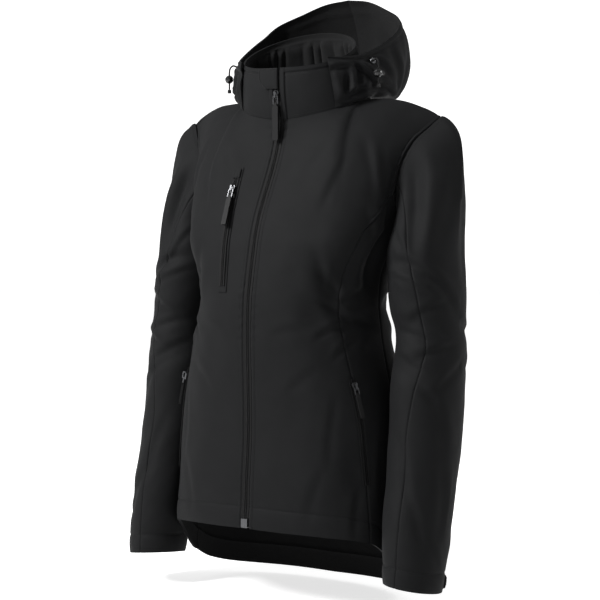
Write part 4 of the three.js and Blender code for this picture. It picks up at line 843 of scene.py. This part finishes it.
# Folds by degrees from centre front, share of the way up, spread both ways, how high they stand and how
# much they lean; finer creases by twice the degrees and 90 times the share, as the body's are.
HOOD_FOLDS = [
    (56.5, 0.5, 3.4, 0.24, 3.5, 0), (63.5, 0.5, 3.2, 0.15, -3.5, 0), (69.5, 0.58, 3, 0.2, 4.5, 0),
    (75.5, 0.66, 2.7, 0.2, -6, 0), (81, 0.42, 5, 0.24, 3.5, 0), (97, 0.3, 6, 0.25, -4, 0),
    (128, 0.55, 6, 0.3, -4.5, 0), (150, 0.5, 6, 0.3, 4, 0), (168, 0.45, 5, 0.3, -4.5, 0),
]
HOOD_CREASES = [
    (164, 60, -43, 46, 4.5, 7.0), (206, 37, -12, 66, 5, 6.0), (146, 34, 24, 40, 5, 4.6),
    (128, 44, 78, 34, 5, 4.2), (120, 66, 20, 34, 4.5, 3.6), (186, 70, -30, 60, 5, 4.4),
    (230, 60, -62, 60, 7, 2.6),
    (262, 48, 70, 60, 8, 2.4), (300, 62, 84, 70, 8, 2.6), (330, 40, 78, 60, 8, 2.4), (250, 20, 6, 60, 6, 2.2),
]
HOOD_GATHERS = dict(start=96, end=150, pitch=6.0, depth=5.5)
HOOD_OFF_COLLAR = 1.75
HOOD_LIFT = 2.5
CROWN_GAP = 0.02


def hood_point(side, deg, up):
    """The hood on one side: at each angle a curve from the neck seam, out through two swellings, up to
    the rim."""
    deg, up = np.broadcast_arrays(np.asarray(deg, float), np.clip(up, 0, 1))
    out = point(np.sin(np.radians(deg)), -np.cos(np.radians(deg)), 0)
    seam = loop_point(NECK, 1, deg) + out * HOOD_OFF_COLLAR + point(0, 0, HOOD_LIFT)
    rim = point(*(read(HOOD_RIM, "deg", deg, axis) for axis in "xyz"))
    swell = {key: read(HOOD_SWELL, "deg", deg, key)[..., None] for key in HOOD_SWELL if key != "deg"}
    up_axis = np.array([0, 0, 1.0])
    low = seam + out * swell["low_out"] + up_axis * swell["low_up"]
    high = rim + out * swell["high_out"] - up_axis * swell["high_down"]
    t = up[..., None]
    p = seam * (1 - t) ** 3 + 3 * low * t * (1 - t) ** 2 + 3 * high * t * t * (1 - t) + rim * t ** 3
    return point(side * p[..., 0], p[..., 1], p[..., 2])


def hood_normal(side, deg, up):
    at = (np.minimum(deg, 179.4), np.clip(up, 0.01, 0.99))
    n = normal_of(lambda a, b: hood_point(side, a, b), *at, 0.5, 0.01, side)
    n[..., 0] = np.where(deg > 179.5, 0, n[..., 0])
    return unit(n)


def hood_half(hand, side):
    """One half of the hood, from its front edge to the crown seam."""
    border = [0.935, 0.95, 0.962, 0.974, 0.986, 0.994, 1]
    up = np.concatenate([np.linspace(0, 0.92, int(58 / FINE)), border])[:, None]
    deg = (52 + 128 * np.linspace(0, 1, int(150 / FINE)))[None] + 0 * up
    up = up + 0 * deg
    plain, n = hood_point(side, deg, up), hood_normal(side, deg, up)
    rise = fold_rise(HOOD_FOLDS, deg, up) + ROLL * smooth(up, 0.93, 0.965) - 0.9 * bell((up - 0.926) / 0.008)
    creases = crease_rise(HOOD_CREASES, deg * 2, up * 90) * smooth(1 - up, 0.05, 0.16)
    uneven = 0.8 * ripple(deg * 2.2 + 50 * side, up * 180, 66) * smooth(1 - up, 0.04, 0.2)
    rise = rise + creases * smooth(up, 0.02, 0.12) + uneven * smooth(up, 0, 0.1)
    outer = plain + n * rise[..., None]
    place = (deg + 1.4 * np.sin(deg * 0.31 + side)) / HOOD_GATHERS["pitch"]
    puff = np.abs(np.sin(np.pi * place)) ** 0.45
    within = smooth(deg, HOOD_GATHERS["start"], HOOD_GATHERS["start"] + 12) * (
        1 - smooth(deg, HOOD_GATHERS["end"] - 14, HOOD_GATHERS["end"]))
    reach = smooth(up, 0.48 + 0.1 * np.sin(place * 2.3), 0.8) * (1 - smooth(up, 0.9, 0.935))
    inner = outer - n * (CLOTH + HOOD_GATHERS["depth"] * puff * within * reach)[..., None]
    for grid in (outer, inner):
        grid[..., 0] += (plain[..., 0] - grid[..., 0]) * smooth(deg, 168, 179)
        grid[:, -1, 0] = side * CROWN_GAP
    piece = shell(f"cloth_hood_{hand}", outer, inner, np.stack([deg * 2.2, up * 180], -1), f"hood_{hand}")
    CLOTH_PIECES[f"hood_{hand}"] = dict(piece=piece, p=outer, n=n, deg=deg, up=up)


for hand, side in (("left", 1), ("right", -1)):
    hood_half(hand, side)

# The zips
# Woven tapes with a nylon coil down the middle, under the fronts' edges on the main zip and laid into
# the welt and the princess seams on the pockets. The solids show where each tape lies.
def woven(name, dark, light, pitch, strength):
    """A narrow woven tape: a diagonal twill in its shade and its relief."""
    made, wire, shader = material(name, Specular_IOR_Level=0.12)
    u, v, _ = wire.split(coordinates(wire, "cloth"))
    twill = ((u + v * 0.6) * (2 * math.pi / pitch)).math("SINE") * 0.5 + 0.5
    grain = wire.noise(coordinates(wire, "object"), 700.0, 2.0)
    feed(shader, Base_Color=(twill * 0.6 + grain * 0.4).mix(dark, light), Roughness=grain * 0.2 + 0.55,
         Normal=bump(wire, twill + grain * 0.5, strength, 0.0003))
    return made


def plain_finish(name, dark, light, rough, metal=0.0, **more):
    """A finish with a fine cloudy grain in its shade and roughness."""
    made, wire, shader = material(name, Metallic=metal, **more)
    grain = wire.noise(coordinates(wire, "object"), 420.0, 3.0)
    wear = wire.noise(coordinates(wire, "object"), 90.0, 4.0)
    feed(shader, Base_Color=(grain * 0.5 + wear * 0.5).mix(dark, light),
         Roughness=grain * 0.14 + (rough - 0.07), Normal=bump(wire, grain, 0.08, 0.0002))
    return made


TAPE = woven("tape", (0.003, 0.003, 0.0032), (0.007, 0.007, 0.0073), 0.0016, 0.5)
COIL = plain_finish("coil", (0.0035, 0.0035, 0.0037), (0.007, 0.007, 0.0073), 0.5, Specular_IOR_Level=0.15)


def repeated(name, centres, length_way, width_way, height_way, finish):
    """One small rounded bar at every centre, along the three half axes given there, in one mesh."""
    rings = np.array([(-1, 0.45), (-0.72, 0.9), (0, 1), (0.72, 0.9), (1, 0.45)])
    angle = np.arange(6) * np.pi / 3
    bar = np.array([(x, r * math.cos(a), r * math.sin(a)) for x, r in rings for a in angle])
    ring = np.arange(6)
    quads = np.concatenate([np.stack([6 * k + ring, 6 * k + (ring + 1) % 6, 6 * k + 6 + (ring + 1) % 6,
                                      6 * k + 6 + ring], -1) for k in range(4)])
    ends = np.array([(3, 2, 1, 0), (5, 4, 3, 0), (24, 25, 26, 27), (24, 27, 28, 29)])
    faces = np.concatenate([quads, ends])
    x, y, z = (bar[None, :, k:k + 1] for k in range(3))
    points = centres[:, None] + x * length_way[:, None] + y * width_way[:, None] + z * height_way[:, None]
    points = points * MM
    every = (faces[None] + len(bar) * np.arange(len(centres))[:, None, None]).reshape(-1, 4)
    handed = np.einsum("ij,ij->i", np.cross(length_way, width_way), height_way)[0] > 0
    if not handed:
        every = every[:, ::-1]
    mesh = bpy.data.meshes.new(name)
    mesh.vertices.add(points.shape[0] * points.shape[1])
    mesh.vertices.foreach_set("co", points.astype(np.float32).ravel())
    mesh.loops.add(every.size)
    mesh.loops.foreach_set("vertex_index", every.astype(np.int32).ravel())
    mesh.polygons.add(len(every))
    mesh.polygons.foreach_set("loop_start", np.arange(0, every.size, 4, dtype=np.int32))
    mesh.polygons.foreach_set("loop_total", np.full(len(every), 4, np.int32))
    mesh.polygons.foreach_set("use_smooth", np.ones(len(every), bool))
    mesh.update(calc_edges=True)
    mesh.materials.append(finish)
    piece = bpy.data.objects.new(name, mesh)
    bpy.context.scene.collection.objects.link(piece)
    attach(piece, "jacket")
    return piece


def zip_strip(name, p, n, wide, low, thick):
    """A zip on a row of centre points with their normals: a tape with raised selvedges and a sunk middle
    and, on it, two rows of coil turns that mesh like a row of stitches."""
    along = unit(np.gradient(p, axis=0))
    side = unit(np.cross(along, n))
    share = np.array([-1, -0.93, -0.8, -0.62, -0.45, -0.3, 0, 0.3, 0.45, 0.62, 0.8, 0.93, 1])
    lift = low + thick + 0.16 * bell((np.abs(share) - 0.86) / 0.08) - 0.3 * bell(share / 0.38)
    outer = p[:, None] + side[:, None] * (share * wide / 2)[None, :, None] + n[:, None] * lift[None, :, None]
    inner = p[:, None] + side[:, None] * (share * wide / 2)[None, :, None] + n[:, None] * low
    run = np.concatenate([[0], np.cumsum(np.linalg.norm(np.diff(p, axis=0), axis=1))])
    uv = np.stack(np.broadcast_arrays((share * wide / 2)[None], run[:, None]), -1)
    tape = shell(f"{name}_tape", outer, inner, uv, name)
    for layer in range(2):
        tape.data.materials[layer] = TAPE
    at = np.arange(1.2, run[-1] - 1.2, 1.15)
    on = lambda grid: np.stack([np.interp(at, run, grid[:, k]) for k in range(3)], 1)
    centre, out, across_it, up = on(p), unit(on(n)), unit(on(side)), unit(on(along))
    turns = []
    for way in (-1, 1):
        middle = centre + across_it * way * 1.35 + out * (low + thick + 0.35) + up * (0.29 * way)
        lean = across_it * 1.35 + up * 0.22 * way
        turns.append((middle, lean, up * 0.42, out * 0.62))
    rows = [np.concatenate(column) for column in zip(*turns)]
    repeated(f"{name}_coil", *rows, COIL)


def front_cell(side, x, z, lift):
    """Points and normals of a front at given breadths from the centre and heights."""
    x, z, lift = (np.asarray(v, float) for v in np.broadcast_arrays(x, z, lift))
    low = 90 * share_at(lambda s: ring_point(1, 90 * s, z)[..., 0], x)
    p_low = ring_point(side, low, z)
    n_low = normal_of(lambda a, b: ring_point(side, a, b), low, z, 0.4, 2, side)
    share_of = lambda v: share_at(lambda q: yoke_point(1, "front", q, v)[..., 0], x)
    height_of = lambda t: yoke_point(1, "front", share_of(t), t)[..., 2]
    v = share_at(height_of, z) if (z > UNDERARM).any() else 0 * z
    q = share_of(v)
    p_high, n_high = yoke_point(side, "front", q, v), yoke_normal(side, "front", q, v)
    lower = (z <= UNDERARM)[..., None]
    p, n = np.where(lower, p_low, p_high), np.where(lower, n_low, n_high)
    deg = np.where(lower[..., 0], low, 90 * q)
    return p + n * (body_rise(side, deg, z) + lift)[..., None], n


BOX_TOP = -599
heights = np.linspace(BOX_TOP + 0.35, UNDERARM, 110)
p, n = front_cell(1, 0.4, heights, 0.0)
up = np.linspace(0, 1, 60)[1:]
q = share_at(lambda s: yoke_point(1, "front", s, up)[..., 0], 0.4 + 0 * up)
p_up, n_up = yoke_point(1, "front", q, up), yoke_normal(1, "front", q, up)
high = np.linspace(0.04, 0.95, 24)
p_high, n_high = collar_point(0.3 + 0 * high, high), collar_normal(0.3 + 0 * high, high)
line, out = np.concatenate([p, p_up, p_high]), np.concatenate([n, n_up, n_high])
line[:, 0], out[:, 0] = 0, 0
zip_strip("zip_main", line, unit(out), 13, -1.3, 0.9)

CHEST = dict(top=-100, bottom=-279, top_x=56, bottom_x=47)


def chest_cell(z, offset, lift):
    """The chest pocket's own places: a line slanting down the right front."""
    share = (CHEST["top"] - z) / (CHEST["top"] - CHEST["bottom"])
    return front_cell(-1, CHEST["top_x"] + (CHEST["bottom_x"] - CHEST["top_x"]) * share + offset, z, lift)


def chest_patch(name, top, bottom, wide, low, thick, rows):
    """A strip of cloth stitched down round its edge beside or over the chest pocket's opening."""
    z, across_it = np.linspace(bottom, top, rows)[:, None], np.linspace(-1, 1, 17)[None]
    inset = np.minimum((1 - np.abs(across_it)) * wide / 2, np.minimum(z - bottom, top - z))
    press = -0.35 * bell(inset / 0.8) - 0.3 * bell((inset - 2) / 0.6) + 0.15 * bell((inset - 1.2) / 0.5)
    lift = low + thick + press * min(thick, 1.0)
    outer, n = chest_cell(z + 0 * across_it, across_it * wide / 2 + 0 * z, lift)
    inner = chest_cell(z + 0 * across_it, across_it * wide / 2 + 0 * z, low)[0]
    uv = np.stack(np.broadcast_arrays(across_it * wide / 2, z), -1)
    piece = shell(f"cloth_{name}", outer, inner, uv, name)
    CLOTH_PIECES[name] = dict(piece=piece, p=outer, n=n, inset=inset + 0 * across_it)


chest_patch("chest_welt", -100, -279, 17, 0.5, 0.9, 90)
chest_patch("chest_garage", -103, -116, 12, 1.75, 1.8, 15)
z = np.linspace(-270, -117, 80)
p, n = chest_cell(z, 0 * z, 1.75)
zip_strip("zip_chest", p, n, 11, 0.0, 0.9)


def beside_seam(side, z, offset, lift):
    """Points and normals beside the princess seam, at a distance round the body from it."""
    deg = read(PRINCESS, "z", z, "deg")
    per_degree = np.linalg.norm(ring_point(side, deg + 0.5, z) - ring_point(side, deg - 0.5, z), axis=-1)
    deg = deg + offset / per_degree
    n = normal_of(lambda a, b: ring_point(side, a, b), deg, z, 0.4, 2, side)
    return ring_point(side, deg, z) + n * (body_rise(side, deg, z) + lift)[..., None], n


for hand, side in (("left", 1), ("right", -1)):
    z = np.linspace(-546, -396, 80)
    p, n = beside_seam(side, z, 0 * z, 0.5 + 0 * z)
    zip_strip(f"zip_hand_{hand}", p, n, 12, 0.0, 0.9)

# Cuff tabs and chin guard
# Hook-and-loop tabs sewn into the rear sleeve seams, and the guard folded over the top of the main zip,
# each two layers turned and topstitched round the edge.
for hand, side in (("left", 1), ("right", -1)):
    along, across_it = np.linspace(0, 1, 64)[None], np.linspace(0, 1, 20)[:, None]
    blunt = np.where(along > 0.85, 0.22 * ((along - 0.85) / 0.15) ** 2, 0)
    over = 4 + 18 * (blunt + (1 - 2 * blunt) * across_it)
    turn = 0.715 + 0.21 * along + 0 * across_it
    down = 1 + (SLEEVE_TOP - CUFF - over) / 100
    base, n = sleeve_point(side, turn, down), sleeve_normal(side, turn, down)
    inset = np.minimum((1 - along) * 62, np.minimum(across_it, 1 - across_it) * 18) + 0 * turn
    lift = sleeve_rise(side, turn, CUFF + over)
    press = -0.9 * bell(inset / 1.1) - 0.35 * bell((inset - 2.6) / 0.6) + 0.2 * bell((inset - 1.6) / 0.5)
    outer = base + n * (lift + 0.35 + 2.4 + press)[..., None]
    inner = base + n * (lift + 0.35)[..., None]
    uv = np.stack([along * 62 + 0 * turn, over], -1)
    piece = shell(f"cloth_cuff_tab_{hand}", outer, inner, uv, f"cuff_tab_{hand}")
    CLOTH_PIECES[f"cuff_tab_{hand}"] = dict(piece=piece, p=outer, n=n, inset=inset)

share, high = np.linspace(0, 1, 44)[None], np.linspace(0, 1, 34)[:, None]
x = -31 + 34 * share + 0 * high
low = 0.59 + 0.16 * (1 - smooth(share, 0, 0.4))
up = low + (0.995 - low) * high + 0 * share
deg = np.where(x > 0, collar_deg(np.abs(x), up), 360 - collar_deg(np.abs(x), up))
n = collar_normal(deg, up)
inset = np.minimum(np.minimum(share, 1 - share) * 34, np.minimum((up - low) * 78, (0.995 - up) * 78))
press = -0.8 * bell(inset / 1.0) - 0.3 * bell((inset - 2.6) / 0.6) + 0.2 * bell((inset - 1.5) / 0.5)
base = collar_point(deg, up)
outer, inner = base + n * (ROLL + 0.35 + 1.8 + press)[..., None], base + n * (ROLL + 0.35)
piece = shell("cloth_chin_guard", outer, inner, np.stack([x, up * 78], -1), "chin_guard")
CLOTH_PIECES["chin_guard"] = dict(piece=piece, p=outer, n=n, inset=inset + 0 * up)

# Topstitching
# Black thread, a stitch every 3.3 mm: beside the zip, the armholes and the rear sleeve seams, along the
# hem and cuff bands, round the small patches and along the collar's and hood's edges.
STITCH_EVERY = 3.3
PATCH_STITCH = 2.1
THREAD = plain_finish("thread", (0.004, 0.004, 0.0042), (0.009, 0.009, 0.0093), 0.6, Specular_IOR_Level=0.15)


def traced(piece, field, value, by_rows, keep=None):
    """The line on a piece's grid where one of its fields has a value: a point and a normal in each row,
    or else in each column, that crosses it."""
    grids = [field, piece["p"], piece["n"], np.ones_like(field) if keep is None else keep.astype(float)]
    if not by_rows:
        grids = [np.swapaxes(grid, 0, 1) for grid in grids]
    field, p, n, keep = grids
    cross = (field[:, :-1] - value) * (field[:, 1:] - value) <= 0
    rows = np.nonzero(cross.any(1))[0]
    c = cross.argmax(1)[rows]
    step = field[rows, c + 1] - field[rows, c]
    w = (value - field[rows, c]) / np.where(step == 0, 1, step)
    kept = keep[rows, c] > 0.5
    blend = lambda grid: (grid[rows, c] * (1 - w[:, None]) + grid[rows, c + 1] * w[:, None])[kept]
    return blend(p), blend(n)


def stitched(lines):
    """Stitches along lines of points and normals: their centres and three half axes."""
    made = []
    for p, n in lines:
        if len(p) < 3:
            continue
        run = np.concatenate([[0], np.cumsum(np.linalg.norm(np.diff(p, axis=0), axis=1))])
        at = np.arange(2, run[-1] - 1, STITCH_EVERY)
        on = lambda grid: np.stack([np.interp(at, run, grid[:, k]) for k in range(3)], 1)
        ahead = np.stack([np.interp(at + 1.2, run, p[:, k]) for k in range(3)], 1)
        out = unit(on(n))
        way = unit(ahead - on(p) + 1e-9)
        made.append((on(p) + out * 0.08, way * 1.25, unit(np.cross(out, way)) * 0.33, out * 0.26))
    return [np.concatenate(column) for column in zip(*made)]


for name, piece in CLOTH_PIECES.items():
    lines = []
    if name.startswith("front_"):
        lines = [traced(piece, piece["left"], BESIDE_ZIP, True),
                 traced(piece, piece["right"], BESIDE_SEAM_STITCH, True, piece["z"] > UNDERARM + 40)]
    if name.startswith(("front_", "side_front_")) or name == "back":
        lines += [traced(piece, piece["over"], 30.6, False)]
    if name.startswith("sleeve_"):
        lines = [traced(piece, piece["down"], 5.4, False), traced(piece, piece["over"], 26.6, False)]
        lines += [traced(piece, piece["left"], BESIDE_SEAM_STITCH, True)] if "upper" in name else []
    if name == "back":
        lines += [traced(piece, piece["left"], BESIDE_SEAM_STITCH, True, piece["z"] > UNDERARM + 30),
                  traced(piece, piece["right"], BESIDE_SEAM_STITCH, True, piece["z"] > UNDERARM + 30)]
    if name == "collar":
        lines = [traced(piece, piece["up"], 0.886, False, piece["beside"] > 7.4),
                 traced(piece, piece["up"], 0.05, False, piece["beside"] > 7.4),
                 traced(piece, piece["beside"], 7.4, True)]
    if name.startswith("hood_"):
        lines = [traced(piece, piece["up"], 0.928, False), traced(piece, piece["deg"], 177.6, True)]
    if "inset" in piece:
        for by_rows in (True, False):
            lines.append(traced(piece, piece["inset"], PATCH_STITCH, by_rows))
            flipped = dict(p=piece["p"][::-1, ::-1], n=piece["n"][::-1, ::-1])
            lines.append(traced(flipped, piece["inset"][::-1, ::-1], PATCH_STITCH, by_rows))
    if lines:
        repeated(f"stitches_{name}", *stitched(lines), THREAD)

# What the patches lie on
# For each small patch, the piece of cloth that it is laid on, looked up for every piece.
LAID_ON = dict(
    cuff_tab_left="cloth_sleeve_under_left",
    cuff_tab_right="cloth_sleeve_under_right",
    chest_welt="cloth_front_right",
    chest_garage="cloth_chest_welt",
    chin_guard="cloth_collar",
)
for name, entry in CLOTH_PIECES.items():
    under = [LAID_ON[name]] if name in LAID_ON else []

# Hood cords
# A braided 2.6 mm cord on each side, out of its eyelet, through its lock and down to a moulded end.
CORD_ROUTE = [(117.29, 30.44, 53.10), (120.47, 28.96, 54.10), (125.60, 26.57, 55.60), (129.50, 24.76, 51.50),
              (130.58, 24.25, 45.00), (130.58, 24.25, 35.00), (130.58, 24.25, 20.00)]
CORD_LONG = 0.0473
BRAID = woven("braid", (0.005, 0.005, 0.0052), (0.016, 0.016, 0.0165), 0.0011, 0.6)


def braided(name, route):
    """A tube along a route whose surface rises where the strands of its braid cross over."""
    t = np.linspace(0, 1, 110)
    p = curve_through(route)(t)
    way = unit(np.gradient(p, axis=0))
    first = unit(np.cross(way, np.array([0.3, 1.0, 0.1])))
    second = np.cross(way, first)
    turn = np.linspace(0, 2 * np.pi, 17)[None, :-1]
    run = np.linspace(0, CORD_LONG / MM, len(t))[:, None]
    strands = np.sin(4 * turn + run * 2.1) * np.sin(4 * turn - run * 2.1)
    radius = (1.3 * 0.95 + 0.09 * strands)[..., None]
    around = first[:, None] * np.cos(turn)[..., None] + second[:, None] * np.sin(turn)[..., None]
    points = p[:, None] + around * radius
    ring = np.arange(16)
    quads = np.concatenate([np.stack([16 * k + ring, 16 * k + (ring + 1) % 16, 16 * k + 16 + (ring + 1) % 16,
                                      16 * k + 16 + ring], -1) for k in range(len(t) - 1)])
    last = 16 * (len(t) - 1)
    faces = [tuple(q) for q in quads] + [tuple(ring[::-1])] + [tuple(last + ring)]
    mesh = bpy.data.meshes.new(name)
    mesh.from_pydata((points.reshape(-1, 3) * MM).tolist(), [], faces)
    mesh.update()
    layer = mesh.uv_layers.new(name="cloth")
    places = np.stack(np.broadcast_arrays(turn * 1.3, run), -1).reshape(-1, 2) * MM
    order = np.empty(len(mesh.loops), np.int32)
    mesh.loops.foreach_get("vertex_index", order)
    layer.data.foreach_set("uv", places[order].astype(np.float32).ravel())
    mesh.polygons.foreach_set("use_smooth", np.ones(len(mesh.polygons), bool))
    mesh.materials.append(BRAID)
    piece = bpy.data.objects.new(name, mesh)
    bpy.context.scene.collection.objects.link(piece)
    return piece


for hand, side in (("left", 1), ("right", -1)):
    route = [(side * x, y, z) for x, y, z in CORD_ROUTE]
    cord = braided(f"braided_cord_{hand}", route)
    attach(cord, "jacket")
    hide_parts(f"hood_cord_{hand}")
    path = (curve_through(route)(np.linspace(0, 1, 30)) * MM).tolist()

# Hard trims
# Sliders, links, eyelets and the box of the main zip are gunmetal; pulls, cord locks and ends are moulded.
GUNMETAL = plain_finish("gunmetal", (0.055, 0.056, 0.059), (0.1, 0.101, 0.105), 0.34, metal=1.0)
GLOSS = plain_finish("moulded", (0.006, 0.006, 0.0063), (0.011, 0.011, 0.0115), 0.22)
PULL = plain_finish("pull", (0.004, 0.004, 0.0042), (0.009, 0.009, 0.0093), 0.6, Specular_IOR_Level=0.15)
FINISHES = dict(softshell=SOFTSHELL, tape=PULL, dark_metal=GUNMETAL, gloss_black=GLOSS, cord=PULL)
for row in frame["record"]["subparts"]:
    node = nodes[row["node"]]
    node.data.materials.clear()
    node.data.materials.append(FINISHES[row["material_slot"]])

# Floor and light
# A white floor and a round white wall, both glowing a little as in a shop photograph, a large soft key
# high on the camera's left, a weak fill on its right and a narrow light from behind along the sleeves.
bpy.context.scene.view_settings.view_transform = "Standard"


def pale_finish(name, glow):
    """Matt white with faint clouding that glows by itself."""
    made, wire, shader = material(name, Roughness=0.9, Emission_Strength=glow)
    clouds = wire.noise(coordinates(wire, "object"), 2.0)
    feed(shader, Base_Color=clouds.mix((0.86, 0.86, 0.86), (0.9, 0.9, 0.9)))
    shader.inputs["Emission Color"].default_value = (1, 1, 1, 1)
    return made


bpy.ops.mesh.primitive_plane_add(size=60, location=(0, 0, cad_box[0][2] - 0.012))
floor = bpy.context.object
floor.name = "floor"
floor.visible_diffuse = False
floor.data.materials.append(pale_finish("floor", 0.72))
bpy.ops.mesh.primitive_cylinder_add(vertices=64, radius=9, depth=40, end_fill_type="NOTHING")
wall = bpy.context.object
wall.name = "wall"
wall.visible_diffuse = wall.visible_glossy = False
wall.data.materials.append(pale_finish("wall", 1.0))
world = bpy.data.worlds.new("studio")
world.use_nodes = True
background = world.node_tree.nodes["Background"]
background.inputs["Color"].default_value = (1, 1, 1, 1)
background.inputs["Strength"].default_value = 0.3
bpy.context.scene.world = world


def lamp(name, place, aim, size, watts):
    made = bpy.data.objects.new(name, bpy.data.lights.new(name, "AREA"))
    made.data.size, made.data.energy = size, watts
    made.location = place
    made.rotation_euler = (Vector(aim) - Vector(place)).to_track_quat("-Z", "Y").to_euler()
    bpy.context.scene.collection.objects.link(made)


lamp("key", (-1.5, -2.3, 1.7), (0, 0, -0.15), 0.9, 175)
lamp("rim", (1.9, 1.3, 0.9), (0.15, 0, -0.3), 0.9, 16)
lamp("fill", (2.5, -1.2, 0.3), (0, 0, -0.3), 1.4, 3)
